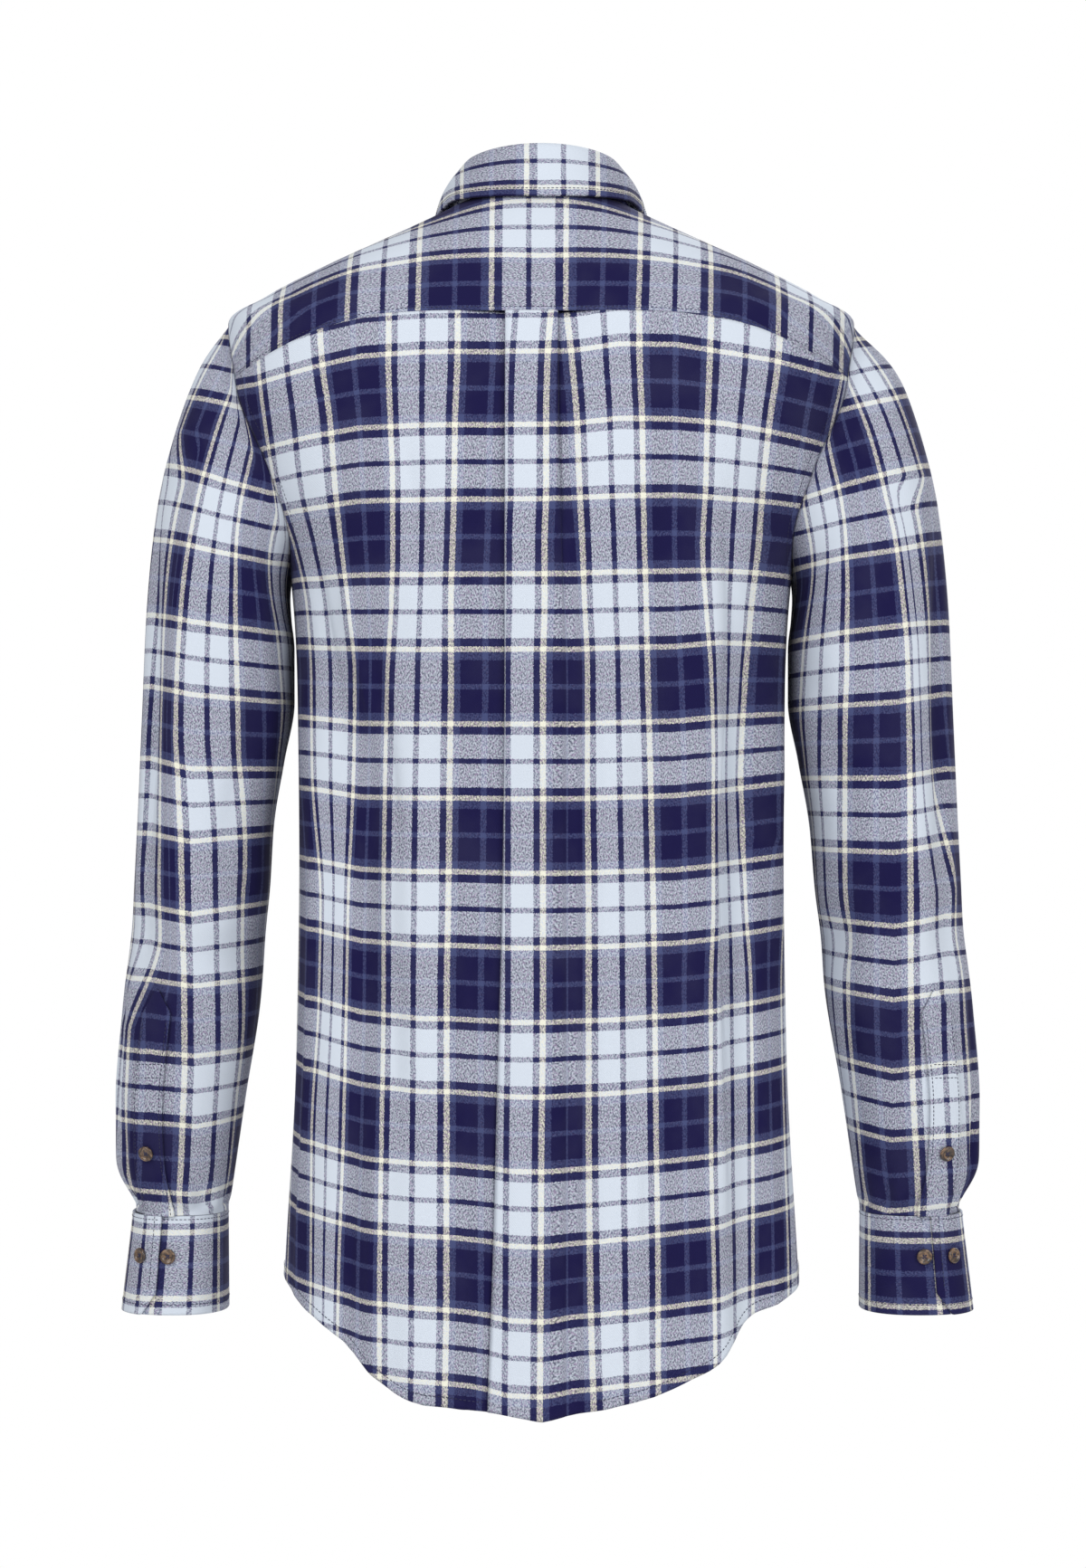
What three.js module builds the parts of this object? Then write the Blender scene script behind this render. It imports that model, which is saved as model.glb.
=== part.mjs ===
import * as THREE from 'three';

// A man's long-sleeved flannel shirt, filled out as if worn, with nobody in it.
// Millimetres. +Z is up, the front faces -Y and the wearer's left is +X.
// The origin is mid neck, level with the points where the shoulders meet the collar.

// Cloth and sewing
const CLOTH = 1.4;
const DOUBLED = 2.0;
const SEAM_GAP = 0.3;
const LIFT = 0.6;

// Front opening, collar, cuffs and buttons
const PLACKET_WIDTH = 32;
const PLACKET_UNDERLAP = 3;
const PLACKET_TOP_LEVEL = 0.14;
const BUTTON_RADIUS = 5.2;
const BUTTON_THICKNESS = 2.2;
const FRONT_BUTTONS = 7;
const FIRST_BUTTON_DROP = 62;
const BUTTON_SPACING = 88;
const STAND_END_ANGLE = degrees(193);
const LEAF_END_ANGLE = degrees(171);
const LEAF_POINT_ANGLE = degrees(153);

// Sleeves
const ARMHOLE_TOP = -77;
const ARMHOLE_BOTTOM = -242;
const ARMHOLE_HALF_DEPTH = 59;
const ARMHOLE_DROP = 0.3;
const SLEEVE_FULLNESS = 2.35;
const SLEEVE_CLEARANCE = 2.6;
// The right sleeve hangs a little further out, its outer edge more than its inner one.
const RIGHT_SLEEVE_SWING = 8.5;
const INNER_SWING = 0.45;
const SLEEVE_PLACKET_ANGLE = degrees(70);
const SLEEVE_PLACKET_WIDTH = 20;
const SLEEVE_PLACKET_TOP = 7.75;
const SLEEVE_PLACKET_SHOULDER = 8;
const SLEEVE_PLACKET_BUTTON = 9.75;
const PLACKET_RISE = 2.4;
const CUFF_OVERLAP_ANGLE = degrees(75);
const CUFF_LAP = degrees(34);
const CUFF_CORNER_CUT = degrees(16);
const CUFF_RISE_START = degrees(225);
const CUFF_RISE_END = degrees(345);
const CUFF_BUTTON_TURNS = [degrees(-22), degrees(9.5)];

// The body as rings from the neck seam down, half widths from the middle and heights at
// the centre back, the side and the centre front.
const RING_COLUMNS = ['name', 'side', 'back', 'front', 'fullness', 'zBack', 'zSide', 'zFront'];
const RINGS = table(RING_COLUMNS, [
  ['neck seam', 58.5, 60, 72, 2.15, 4, 0, -75],
  ['neck slope', 89, 74, 88, 2.2, -18, -14, -90],
  ['shoulder', 146, 87, 104, 2.25, -42, -40, -108],
  ['shoulder end', 184, 97, 116, 2.3, -62, -60, -127],
  ['armhole top', 207, 104, 124, 2.35, -80, -77, -146],
  ['blade', 207, 116, 132, 2.4, -128, -124, -172],
  ['chest', 190, 123, 137, 2.4, -180, -178, -204],
  ['armpit', 166, 125, 138, 2.4, -240, -240, -242],
  ['rib', 161, 119, 134, 2.4, -320, -320, -320],
  ['waist', 160, 109, 125, 2.35, -430, -430, -430],
  ['hip', 162, 110, 123, 2.35, -560, -560, -560],
  ['seat', 169, 115, 124, 2.35, -690, -690, -690],
  ['lowest hem', 175, 117, 124, 2.35, -800, -800, -800],
]);
const RINGS_ABOVE_YOKE_SEAM = 4;

// Height of the shirt-tail hem round the body, by angle from the centre back.
const HEM_HEIGHTS = table(['angle', 'height'], [
  [0, -783], [20, -775], [33, -768], [39, -762], [46, -752], [52, -739], [62, -720],
  [76, -707], [90, -702], [102, -708], [116, -724], [132, -741], [150, -752], [180, -757],
]);

// Height of the yoke seam across the back, by distance from the centre.
const YOKE_SEAM = table(['across', 'height'], [
  [0, -79], [60, -79], [97, -80], [139, -88], [167, -99], [200, -115], [230, -127],
]);
const YOKE_BACK_HEIGHT = -115;
const YOKE_FRONT_ANGLE = degrees(-45);
const YOKE_NECK_ANGLE = degrees(117);
const YOKE_NECK_CORNER = degrees(66);

// Folds of the body cloth: where each lies round the body at its top and its foot,
// in degrees from the centre back, and how far it stands out or in.
const FOLD_COLUMNS = ['name', 'topAngle', 'footAngle', 'top', 'foot', 'width', 'depth'];
const BODY_FOLDS = table(FOLD_COLUMNS, [
  ['left back crease', 56, 48, -290, -520, 19, -7],
  ['left back roll', 70, 62, -320, -760, 20, 6],
  ['left tail fold', 40, 36, -380, -770, 19, 5],
  ['right back roll', -46, -48, -240, -780, 18, 7],
  ['right back crease', -57, -60, -300, -740, 18, -6],
  ['right side roll', -72, -72, -330, -760, 20, 5],
  ['left front roll', 132, 128, -290, -730, 20, 6],
  ['left front crease', 146, 142, -300, -700, 19, -5],
  ['right front roll', -126, -124, -280, -730, 20, 6],
  ['right front crease', -142, -141, -320, -690, 19, -5],
]);

const MM_PER_DEGREE = 2.6;

// The box pleat: distance out from its middle and depth behind the back's surface of
// each line of the cloth, where the pleat is pressed shut and where it has opened.
const PLEAT_COLUMNS = ['name', 'shutAcross', 'shutDepth', 'openAcross', 'openDepth'];
const PLEAT = table(PLEAT_COLUMNS, [
  ['face', 9, 0, 9, 0],
  ['face edge', 16.6, 0, 14, 0.4],
  ['outer bend', 17.6, 1.1, 17.5, 1.6],
  ['return start', 16.6, 2.2, 20, 3.4],
  ['return end', 4.5, 2.2, 23, 5.2],
  ['inner bend', 3.5, 3.3, 26, 6],
  ['under start', 4.5, 4.4, 29, 6],
  ['under edge', 17, 4.4, 34, 4.4],
  ['rise', 29, 2.6, 39, 2.2],
  ['panel', 46, 0, 46, 0],
]);
// How far each side of the pleat has opened, and how far its left fold has strayed out, by
// level of the body's rings. The face sits a little to the wearer's left of the middle.
const PLEAT_OPENING = table(['level', 'left', 'right', 'stray'], [
  [4, 0, 0, 0], [5, 0, 0.1, 0], [6, 0.05, 0.45, 0], [7, 0.1, 0.8, 0], [8, 0.12, 1, 0],
  [9, 0.15, 1, 1], [10, 0.2, 1, 4], [11, 0.25, 1, 7], [12, 0.25, 1, 11],
]);
const PLEAT_CENTRE = 6;
const PLEAT_REACH = 46;

// The left sleeve as sections from the armhole to the cuff: the outer and inner edge of
// its outline seen from the back, and how far it reaches back and front.
const SLEEVE_COLUMNS = ['name', 'outerX', 'outerZ', 'innerX', 'innerZ', 'back', 'front'];
const SLEEVE = table(SLEEVE_COLUMNS, [
  ['armhole', 207, -77, 166, -242, 58, -58],
  ['cap', 224, -102, 167, -256, 65, -64],
  ['head', 241, -146, 166, -272, 69, -68],
  ['upper arm', 254, -200, 164, -292, 70, -70],
  ['biceps', 261, -268, 164, -326, 68, -70],
  ['lower biceps', 264, -336, 171, -366, 65, -68],
  ['above elbow', 267, -402, 178, -410, 62, -66],
  ['elbow', 271, -468, 181, -466, 58, -64],
  ['below elbow', 278, -530, 187, -526, 49, -64],
  ['forearm', 283, -588, 197, -586, 38, -67],
  ['blouse', 280, -630, 204, -630, 26, -70],
  ['gather', 273, -655, 208, -655, 17, -69],
  ['cuff seam', 271, -665, 210, -665, 12, -68],
  ['cuff hem', 279, -731, 210, -731, 10, -77],
]);
const CUFF_SEAM = 12;

// Folds of the sleeve cloth: place along it in sections, angle round it from the outer
// edge towards the back, length and width, and how far it stands out or in.
const SLEEVE_FOLD_COLUMNS = ['name', 'section', 'angle', 'length', 'width', 'lean', 'depth'];
const SLEEVE_FOLDS = table(SLEEVE_FOLD_COLUMNS, [
  ['long outer crease', 5.2, 42, 2.1, 16, 3, -5],
  ['long outer roll', 5.4, 74, 2.3, 18, 2, 3],
  ['inner elbow crease', 7.3, 150, 0.4, 34, 0, -4],
  ['elbow crease', 7.2, 48, 0.35, 30, 12, -4],
  ['front elbow crease', 7.0, -100, 0.4, 46, -10, -5],
  ['upper elbow crease', 6.1, -70, 0.35, 40, 8, -4],
  ['blouse roll', 10.2, 10, 0.7, 38, 0, 4],
  ['gather crease', 11.3, 22, 0.8, 9, 0, -4],
  ['inner gather crease', 11.2, 118, 0.8, 10, 0, -3],
  ['front gather crease', 11.2, -62, 0.8, 10, 0, -4],
]);

// Top edge of the collar stand.
const STAND_TOP = { side: 48.5, back: 53, front: 63, fullness: 2.1, zBack: 30.4, zSide: 25, zFront: -49 };
const STAND_LEAN = 0.36;
// Where the leaf's edge lies on the body, from the centre back (0) to its point (1).
const LEAF_EDGE = table(['share', 'level'], [
  [0, 0.3], [0.3, 0.22], [0.5, 0.12], [0.65, 0.4], [0.82, 1.2], [1, 2.5],
]);
// The leaf's roll over the stand: distance outwards and upwards from the stand's top edge.
const LEAF_ROLL = table(['out', 'up'], [
  [-2.0, 2.6], [-1.4, 4.8], [1.6, 5.2], [4.6, 2.5],
]);
const LEAF_FALL_ROWS = 4;
// How far the leaf bellies out as it falls, by share from the centre back to its point.
const LEAF_BELLY = table(['share', 'belly'], [[0, 0], [0.1, 0.5], [0.45, 2.5], [0.6, 4.5], [0.8, 8], [1, 7]]);
const LEAF_LIFT = DOUBLED + LIFT + 1.2;

// How finely the cloth is drawn
const BACK_COLUMNS = 11;
const FRONT_COLUMNS = 8;
const LOWER_SHARES = steps(11).slice(1).map((share) => share ** 1.2);
const YOKE_ROWS = 5;
const SLEEVE_STEP = 0.5;
const NECK_COLUMNS = 36;
const CUFF_COLUMNS = 28;
const BUTTON_SIDES = 10;

// Colours of the cloth and the buttons
const FLANNEL = { color: 0x6c7088, roughness: 0.95, metalness: 0 };
const BAND_FLANNEL = { color: 0x7c8096, roughness: 0.95, metalness: 0 };
const HORN = { color: 0x6a5a4e, roughness: 0.35, metalness: 0 };

const shirt = new THREE.Group();

// Small helpers

function degrees(angle) {
  return (angle * Math.PI) / 180;
}

function table(columns, rows) {
  return rows.map((row) => Object.fromEntries(columns.map((column, i) => [column, row[i]])));
}

function point(x, y, z) {
  return new THREE.Vector3(x, y, z);
}

function mix(a, b, share) {
  return a + (b - a) * share;
}

function clamp(value, low, high) {
  return Math.min(Math.max(value, low), high);
}

function smooth(low, high, value) {
  const share = clamp((value - low) / (high - low), 0, 1);
  return share * share * (3 - 2 * share);
}

function bell(away) {
  return Math.exp(-away * away);
}

function steps(count, from = 0, to = 1) {
  return Array.from({ length: count + 1 }, (_, i) => mix(from, to, i / count));
}

// Smooth curve through a column of a table, by row number. It never swings past its rows.
function along(rows, column, place) {
  const last = rows.length - 1;
  const start = clamp(Math.floor(place), 0, last - 1);
  const f = place - start;
  const value = (row) => rows[clamp(row, 0, last)][column];
  const rise = (row) => value(row + 1) - value(row);
  const slope = (row) => {
    if (row === 0 || row === last) return row === 0 ? rise(0) : rise(last - 1);
    const before = rise(row - 1);
    const after = rise(row);
    return before * after > 0 ? (2 * before * after) / (before + after) : 0;
  };
  const whole = rise(start);
  const square = 3 * whole - 2 * slope(start) - slope(start + 1);
  const cube = slope(start) + slope(start + 1) - 2 * whole;
  return value(start) + f * (slope(start) + f * (square + f * cube));
}

// Row number at which an evenly rising or falling column has a value.
function rowAt(rows, column, value) {
  const rising = rows[1][column] > rows[0][column];
  let i = 0;
  while (i < rows.length - 2 && (rows[i + 1][column] < value) === rising) {
    i += 1;
  }
  return i + (value - rows[i][column]) / (rows[i + 1][column] - rows[i][column]);
}

function lookUp(rows, key, value, column) {
  const place = clamp(rowAt(rows, key, value), 0, rows.length - 1);
  return along(rows, column, place);
}

// The body's surface

function ringRadius(ring, angle) {
  const depth = Math.cos(angle) > 0 ? ring.back : ring.front;
  const acrossPart = Math.abs(Math.sin(angle) / ring.side) ** ring.fullness;
  const depthPart = Math.abs(Math.cos(angle) / depth) ** ring.fullness;
  return (acrossPart + depthPart) ** (-1 / ring.fullness);
}

function ringPoint(ring, angle, extra = 0) {
  const end = Math.cos(angle) > 0 ? ring.zBack : ring.zFront;
  const z = mix(ring.zSide, end, Math.cos(angle) ** 2);
  const radius = ringRadius(ring, angle) + extra;
  return point(radius * Math.sin(angle), radius * Math.cos(angle), z);
}

function ringAt(level) {
  return Object.fromEntries(RING_COLUMNS.slice(1).map((column) => [column, along(RINGS, column, level)]));
}

function bodyFold(angle, z) {
  const turn = (angle * 180) / Math.PI;
  return BODY_FOLDS.reduce((sum, fold) => {
    const down = clamp((z - fold.top) / (fold.foot - fold.top), -0.5, 1.5);
    const middle = mix(fold.topAngle, fold.footAngle, down);
    const fade = smooth(fold.top + 30, fold.top - 50, z) * smooth(fold.foot - 120, fold.foot, z);
    return sum + fold.depth * fade * bell(((turn - middle) * MM_PER_DEGREE) / fold.width);
  }, 0);
}

function body(angle, level) {
  const ring = ringAt(level);
  const plain = ringPoint(ring, angle);
  return level > 5 ? ringPoint(ring, angle, bodyFold(angle, plain.z)) : plain;
}

function normalOf(surface, a, b, stepA = 0.01, stepB = 0.05) {
  const acrossWay = surface(a + stepA, b).sub(surface(a - stepA, b));
  const downWay = surface(a, b + stepB).sub(surface(a, b - stepB));
  return acrossWay.cross(downWay).normalize();
}

function bodyNormal(angle, level) {
  return normalOf(body, angle, level);
}

// Level of the body's ring that passes a height at an angle.
function levelAt(angle, z) {
  let low = 0;
  let high = RINGS.length - 1;
  for (let i = 0; i < 24; i += 1) {
    const middle = (low + high) / 2;
    if (ringPoint(ringAt(middle), angle).z > z) {
      low = middle;
    } else {
      high = middle;
    }
  }
  return low;
}

// Angle of the body's surface at a distance across, near the centre front or back.
function angleAcross(level, across, atFront) {
  const ring = ringAt(level);
  let turn = 0;
  for (let i = 0; i < 8; i += 1) {
    const angle = atFront ? Math.PI - turn : turn;
    turn = Math.asin(across / ringRadius(ring, angle));
  }
  return atFront ? Math.PI - turn : turn;
}

function hemHeight(angle) {
  const turn = Math.abs((angle * 180) / Math.PI);
  return lookUp(HEM_HEIGHTS, 'angle', Math.min(turn, 180), 'height');
}

function hemLevel(angle) {
  return levelAt(angle, hemHeight(angle));
}

// Level of the yoke seam on the back at an angle. It ends in the armhole's corner.
function drawnYokeLevel(angle) {
  let level = 4;
  for (let i = 0; i < 12; i += 1) {
    const across = Math.abs(ringPoint(ringAt(level), angle).x);
    level = levelAt(angle, lookUp(YOKE_SEAM, 'across', across, 'height'));
  }
  return level;
}

function yokeLevel(angle) {
  const corner = BACK_ARC[0];
  const miss = corner.level - drawnYokeLevel(corner.angle);
  return drawnYokeLevel(angle) + miss * (angle / corner.angle) ** 4;
}

// The armhole: a loop on the body, by angle from its top towards the back.
function armholePlace(turn) {
  const swing = turn - ARMHOLE_DROP * Math.sin(turn);
  const y = ARMHOLE_HALF_DEPTH * Math.sin(swing);
  const z = mix(ARMHOLE_BOTTOM, ARMHOLE_TOP, (1 + Math.cos(turn)) / 2);
  let angle = Math.PI / 2;
  let level = 5;
  for (let i = 0; i < 60; i += 1) {
    level = levelAt(angle, z);
    angle += 0.8 * (Math.acos(clamp(y / ringRadius(ringAt(level), angle), -1, 1)) - angle);
  }
  return { turn, angle, level };
}

const YOKE_BACK_ANGLE = Math.acos(
  (2 * (YOKE_BACK_HEIGHT - ARMHOLE_BOTTOM)) / (ARMHOLE_TOP - ARMHOLE_BOTTOM) - 1,
);
const FULL_TURN = 2 * Math.PI;
const TOP_ARC = steps(7, YOKE_FRONT_ANGLE, YOKE_BACK_ANGLE).map(armholePlace);
const BACK_ARC = steps(8, YOKE_BACK_ANGLE, Math.PI).map(armholePlace);
const FRONT_ARC = steps(9, FULL_TURN + YOKE_FRONT_ANGLE, Math.PI).map(armholePlace);
const UNDERARM = BACK_ARC[BACK_ARC.length - 1];

// The sleeve's surface, on the left side

function sleeveSection(section, turn) {
  const row = Object.fromEntries(
    SLEEVE_COLUMNS.slice(1).map((column) => [column, along(SLEEVE, column, section)]),
  );
  const power = 2 / SLEEVE_FULLNESS;
  const outwards = Math.sign(Math.cos(turn)) * Math.abs(Math.cos(turn)) ** power;
  const backwards = Math.sign(Math.sin(turn)) * Math.abs(Math.sin(turn)) ** power;
  return point(
    mix(row.innerX, row.outerX, (1 + outwards) / 2),
    mix(row.front, row.back, (1 + backwards) / 2),
    mix(row.innerZ, row.outerZ, (1 + outwards) / 2),
  );
}

function sleeveFold(section, turn) {
  const degreesRound = (((turn * 180) / Math.PI + 180) % 360) - 180;
  return SLEEVE_FOLDS.reduce((sum, fold) => {
    const away = section - fold.section;
    const middle = fold.angle + fold.lean * away;
    const round = (((degreesRound - middle + 540) % 360) - 180) / fold.width;
    return sum + fold.depth * bell(round) * bell(away / fold.length);
  }, 0);
}

function sleeve(turn, section, swing = 0) {
  const place = sleeveSection(section, turn);
  const middle = sleeveSection(section, 0).add(sleeveSection(section, Math.PI)).multiplyScalar(0.5);
  middle.y = mix(along(SLEEVE, 'front', section), along(SLEEVE, 'back', section), 0.5);
  const ease = smooth(2, 4, section) * smooth(CUFF_SEAM, CUFF_SEAM - 0.6, section);
  const outwards = place.clone().sub(middle).normalize();
  place.addScaledVector(outwards, sleeveFold(section, turn) * ease);
  if (section < 2) {
    const spot = armholePlace(turn);
    const seam = body(spot.angle, spot.level).sub(sleeveSection(0, turn));
    place.addScaledVector(seam, (1 - section / 2) ** 2);
  }
  if (section > 0) {
    const angle = Math.atan2(place.x, place.y);
    const clearance = SLEEVE_CLEARANCE * smooth(0, 1, section);
    const level = levelAt(angle, place.z);
    const side = Math.max(
      ringRadius(ringAt(level), angle) + bodyFold(angle, place.z),
      ringRadius(ringAt(level), angle) + bodyFold(-angle, place.z),
    );
    const away = Math.hypot(place.x, place.y);
    if (level < RINGS.length - 1 && away < side + clearance) {
      const push = (side + clearance) / away;
      place.x *= push;
      place.y *= push;
    }
  }
  const outer = along(SLEEVE, 'outerX', section);
  const inner = along(SLEEVE, 'innerX', section);
  const outShare = clamp((place.x - inner) / (outer - inner), 0, 1);
  place.x += swing * mix(INNER_SWING * smooth(5, 9, section), smooth(0, 1.5, section), outShare);
  return place;
}

// Solid walls of cloth

function solid(name, outer, inner, closed, look) {
  const columns = outer[0].length;
  const positions = [...outer.flat(), ...inner.flat()].flatMap((p) => p.toArray());
  const half = outer.length * columns;
  const index = [];
  const quad = (a, b, c, d) => index.push(a, b, c, a, c, d);
  const id = (row, column, side) => side * half + row * columns + (column % columns);
  const spans = closed ? columns : columns - 1;
  for (let row = 0; row < outer.length - 1; row += 1) {
    for (let column = 0; column < spans; column += 1) {
      const next = column + 1;
      quad(id(row, column, 0), id(row + 1, column, 0), id(row + 1, next, 0), id(row, next, 0));
      quad(id(row, column, 1), id(row, next, 1), id(row + 1, next, 1), id(row + 1, column, 1));
    }
  }
  const foot = outer.length - 1;
  for (let column = 0; column < spans; column += 1) {
    const next = column + 1;
    quad(id(0, column, 0), id(0, next, 0), id(0, next, 1), id(0, column, 1));
    quad(id(foot, column, 0), id(foot, column, 1), id(foot, next, 1), id(foot, next, 0));
  }
  if (!closed) {
    for (let row = 0; row < foot; row += 1) {
      quad(id(row, 0, 0), id(row, 0, 1), id(row + 1, 0, 1), id(row + 1, 0, 0));
      quad(id(row, spans, 0), id(row + 1, spans, 0), id(row + 1, spans, 1), id(row, spans, 1));
    }
  }
  const geometry = new THREE.BufferGeometry();
  geometry.setAttribute('position', new THREE.Float32BufferAttribute(positions, 3));
  geometry.setIndex(volumeOf(positions, index) > 0 ? index : index.reverse());
  geometry.computeVertexNormals();
  addMesh(name, geometry, look);
}

function volumeOf(positions, index) {
  let volume = 0;
  const corner = (i) => point(...positions.slice(index[i] * 3, index[i] * 3 + 3));
  for (let i = 0; i < index.length; i += 3) {
    volume += corner(i).dot(corner(i + 1).cross(corner(i + 2)));
  }
  return volume;
}

function addMesh(name, geometry, look) {
  const mesh = new THREE.Mesh(geometry, new THREE.MeshStandardMaterial(look));
  mesh.name = name;
  shirt.add(mesh);
  return mesh;
}

// Normals of a grid of points from their neighbours, all on the side of the first one given.
function gridNormals(rows, closed, outside) {
  const columns = rows[0].length;
  return rows.map((row, r) => row.map((p, c) => {
    const left = closed ? row[(c + columns - 1) % columns] : row[Math.max(c - 1, 0)];
    const right = closed ? row[(c + 1) % columns] : row[Math.min(c + 1, columns - 1)];
    const up = rows[Math.max(r - 1, 0)][c];
    const down = rows[Math.min(r + 1, rows.length - 1)][c];
    return right.clone().sub(left).cross(down.clone().sub(up)).normalize().multiplyScalar(outside);
  }));
}

// Moves a grid's border points into the cloth by half a seam gap on the sides named.
function trimmed(rows, sides) {
  const moved = rows.map((row) => row.map((p) => p.clone()));
  const shift = (r, c, towardsR, towardsC) => {
    const way = rows[towardsR][towardsC].clone().sub(rows[r][c]).normalize();
    moved[r][c].addScaledVector(way, SEAM_GAP / 2);
  };
  const foot = rows.length - 1;
  const end = rows[0].length - 1;
  rows[0].forEach((_, c) => {
    if (sides.includes('top')) shift(0, c, 1, c);
    if (sides.includes('foot')) shift(foot, c, foot - 1, c);
  });
  rows.forEach((_, r) => {
    if (sides.includes('start')) shift(r, 0, r, 1);
    if (sides.includes('end')) shift(r, end, r, end - 1);
  });
  return moved;
}

function wall(name, rows, options) {
  const { closed = false, thickness = CLOTH, sides = [], outside = 1, look = FLANNEL } = options;
  const normals = options.normals ?? gridNormals(rows, closed, outside);
  const outer = trimmed(rows, sides);
  const inner = outer.map((row, r) => row.map((p, c) => {
    const setback = options.setback ? options.setback(r, c) : null;
    const behind = p.clone().addScaledVector(normals[r][c], -thickness);
    return setback ? behind.add(setback) : behind;
  }));
  solid(name, outer, inner, closed, look);
}

// At the armhole the body and the sleeve meet at a crease. Where it stands out, each
// wall's inner edge is set back so that the two don't cross.
function armholeSetback(place, ofSleeve) {
  const spot = body(place.angle, place.level);
  const sleeveWay = sleeve(place.turn, 0.08).sub(spot);
  const bodyNormalHere = bodyNormal(place.angle, place.level);
  const before = armholePlace(place.turn - 0.05);
  const after = armholePlace(place.turn + 0.05);
  const tangent = body(after.angle, after.level).sub(body(before.angle, before.level)).normalize();
  sleeveWay.addScaledVector(tangent, -sleeveWay.dot(tangent)).normalize();
  const bodyWay = bodyNormalHere.clone().cross(tangent).normalize();
  const middle = body(UNDERARM.angle, (UNDERARM.level + 4) / 2);
  if (bodyWay.dot(spot.clone().sub(middle)) < 0) {
    bodyWay.negate();
  }
  const bend = Math.atan2(-sleeveWay.dot(bodyNormalHere), -sleeveWay.dot(bodyWay));
  const setback = CLOTH * Math.tan(clamp(bend, 0, degrees(110)) / 2);
  return (ofSleeve ? sleeveWay : bodyWay).multiplyScalar(Math.max(setback, 0));
}

// The body's pieces

function upperBackRows() {
  return BACK_ARC.map((place, i) => {
    const top = yokeLevel(place.angle);
    return { angle: place.angle, share: i === 0 ? 0 : (place.level - top) / (UNDERARM.level - top) };
  });
}

// Angle of a point at a distance across from the middle of the pleat's face.
function pleatAngle(level, fromCentre) {
  const across = PLEAT_CENTRE + fromCentre;
  return Math.sign(across) * angleAcross(level, Math.abs(across), false);
}

function backRows() {
  const lower = LOWER_SHARES.map((share) => ({ angle: Math.PI / 2, lower: share }));
  const rows = [...upperBackRows(), ...lower];
  const levelOf = (row, angle) => {
    if (row.lower !== undefined) {
      return mix(UNDERARM.level, hemLevel(angle), row.lower);
    }
    return mix(yokeLevel(angle), UNDERARM.level, row.share);
  };
  return rows.map((row) => {
    const middleLevel = levelOf(row, 0);
    const half = (side, opening) => {
      const open = lookUp(PLEAT_OPENING, 'level', middleLevel, opening);
      const stray = side > 0 ? lookUp(PLEAT_OPENING, 'level', middleLevel, 'stray') : 0;
      const pleat = PLEAT.map((line) => {
        const inPleat = smooth(PLEAT_REACH, PLEAT_REACH / 2, line.shutAcross);
        const across = mix(line.shutAcross, line.openAcross, open) + stray * inPleat;
        const depth = mix(line.shutDepth, line.openDepth, open);
        const angle = pleatAngle(middleLevel, side * across);
        const level = levelOf(row, angle);
        return body(angle, level).addScaledVector(bodyNormal(angle, level), -depth);
      });
      const edge = pleatAngle(middleLevel, side * PLEAT_REACH);
      const outer = steps(BACK_COLUMNS, 0, 1).slice(1).map((share) => {
        const angle = mix(edge, side * row.angle, share);
        return body(angle, levelOf(row, angle));
      });
      return [...pleat, ...outer];
    };
    const middle = pleatAngle(middleLevel, 0);
    const centre = body(middle, levelOf(row, middle));
    return [...half(-1, 'right').reverse(), centre, ...half(1, 'left')];
  });
}

function makeBack() {
  const rows = backRows();
  const normals = gridNormals(rows, false, 1);
  const last = rows[0].length - 1;
  BACK_ARC.forEach((place, r) => {
    normals[r][0] = bodyNormal(-place.angle, place.level);
    normals[r][last] = bodyNormal(place.angle, place.level);
  });
  LOWER_SHARES.forEach((share, i) => {
    const level = mix(UNDERARM.level, hemLevel(Math.PI / 2), share);
    normals[BACK_ARC.length + i][0] = bodyNormal(-Math.PI / 2, level);
    normals[BACK_ARC.length + i][last] = bodyNormal(Math.PI / 2, level);
  });
  const setback = (r, c) => {
    if (r >= BACK_ARC.length || (c !== 0 && c !== last)) return null;
    const way = armholeSetback(BACK_ARC[r], false);
    if (c === 0) way.x *= -1;
    return way;
  };
  wall('back', rows, { normals, setback, sides: ['top', 'start', 'end'] });
}

function yokeColumns() {
  return [...yokeHalf(-1).slice(1).reverse(), ...yokeHalf(1)];
}

function yokeHalf(side) {
  const corner = TOP_ARC[TOP_ARC.length - 1];
  const pleatEdge = side * pleatAngle(RINGS_ABOVE_YOKE_SEAM, side * PLEAT_REACH);
  const angles = [0, pleatEdge / 2, ...steps(BACK_COLUMNS, pleatEdge, corner.angle)];
  const backHalf = angles.map((angle) => (
    { angle, level: yokeLevel(angle), neck: (YOKE_NECK_CORNER * angle) / corner.angle }
  ));
  const topHalf = TOP_ARC.slice(0, -1).reverse().map((place, i) => ({
    angle: place.angle,
    level: place.level,
    neck: mix(YOKE_NECK_CORNER, YOKE_NECK_ANGLE, (i + 1) / (TOP_ARC.length - 1)),
    place,
  }));
  backHalf[backHalf.length - 1] = { ...corner, neck: YOKE_NECK_CORNER, place: corner };
  return [...backHalf, ...topHalf].map((column) => (
    { ...column, angle: side * column.angle, neck: side * column.neck, mirrored: side < 0 }
  ));
}

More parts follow.
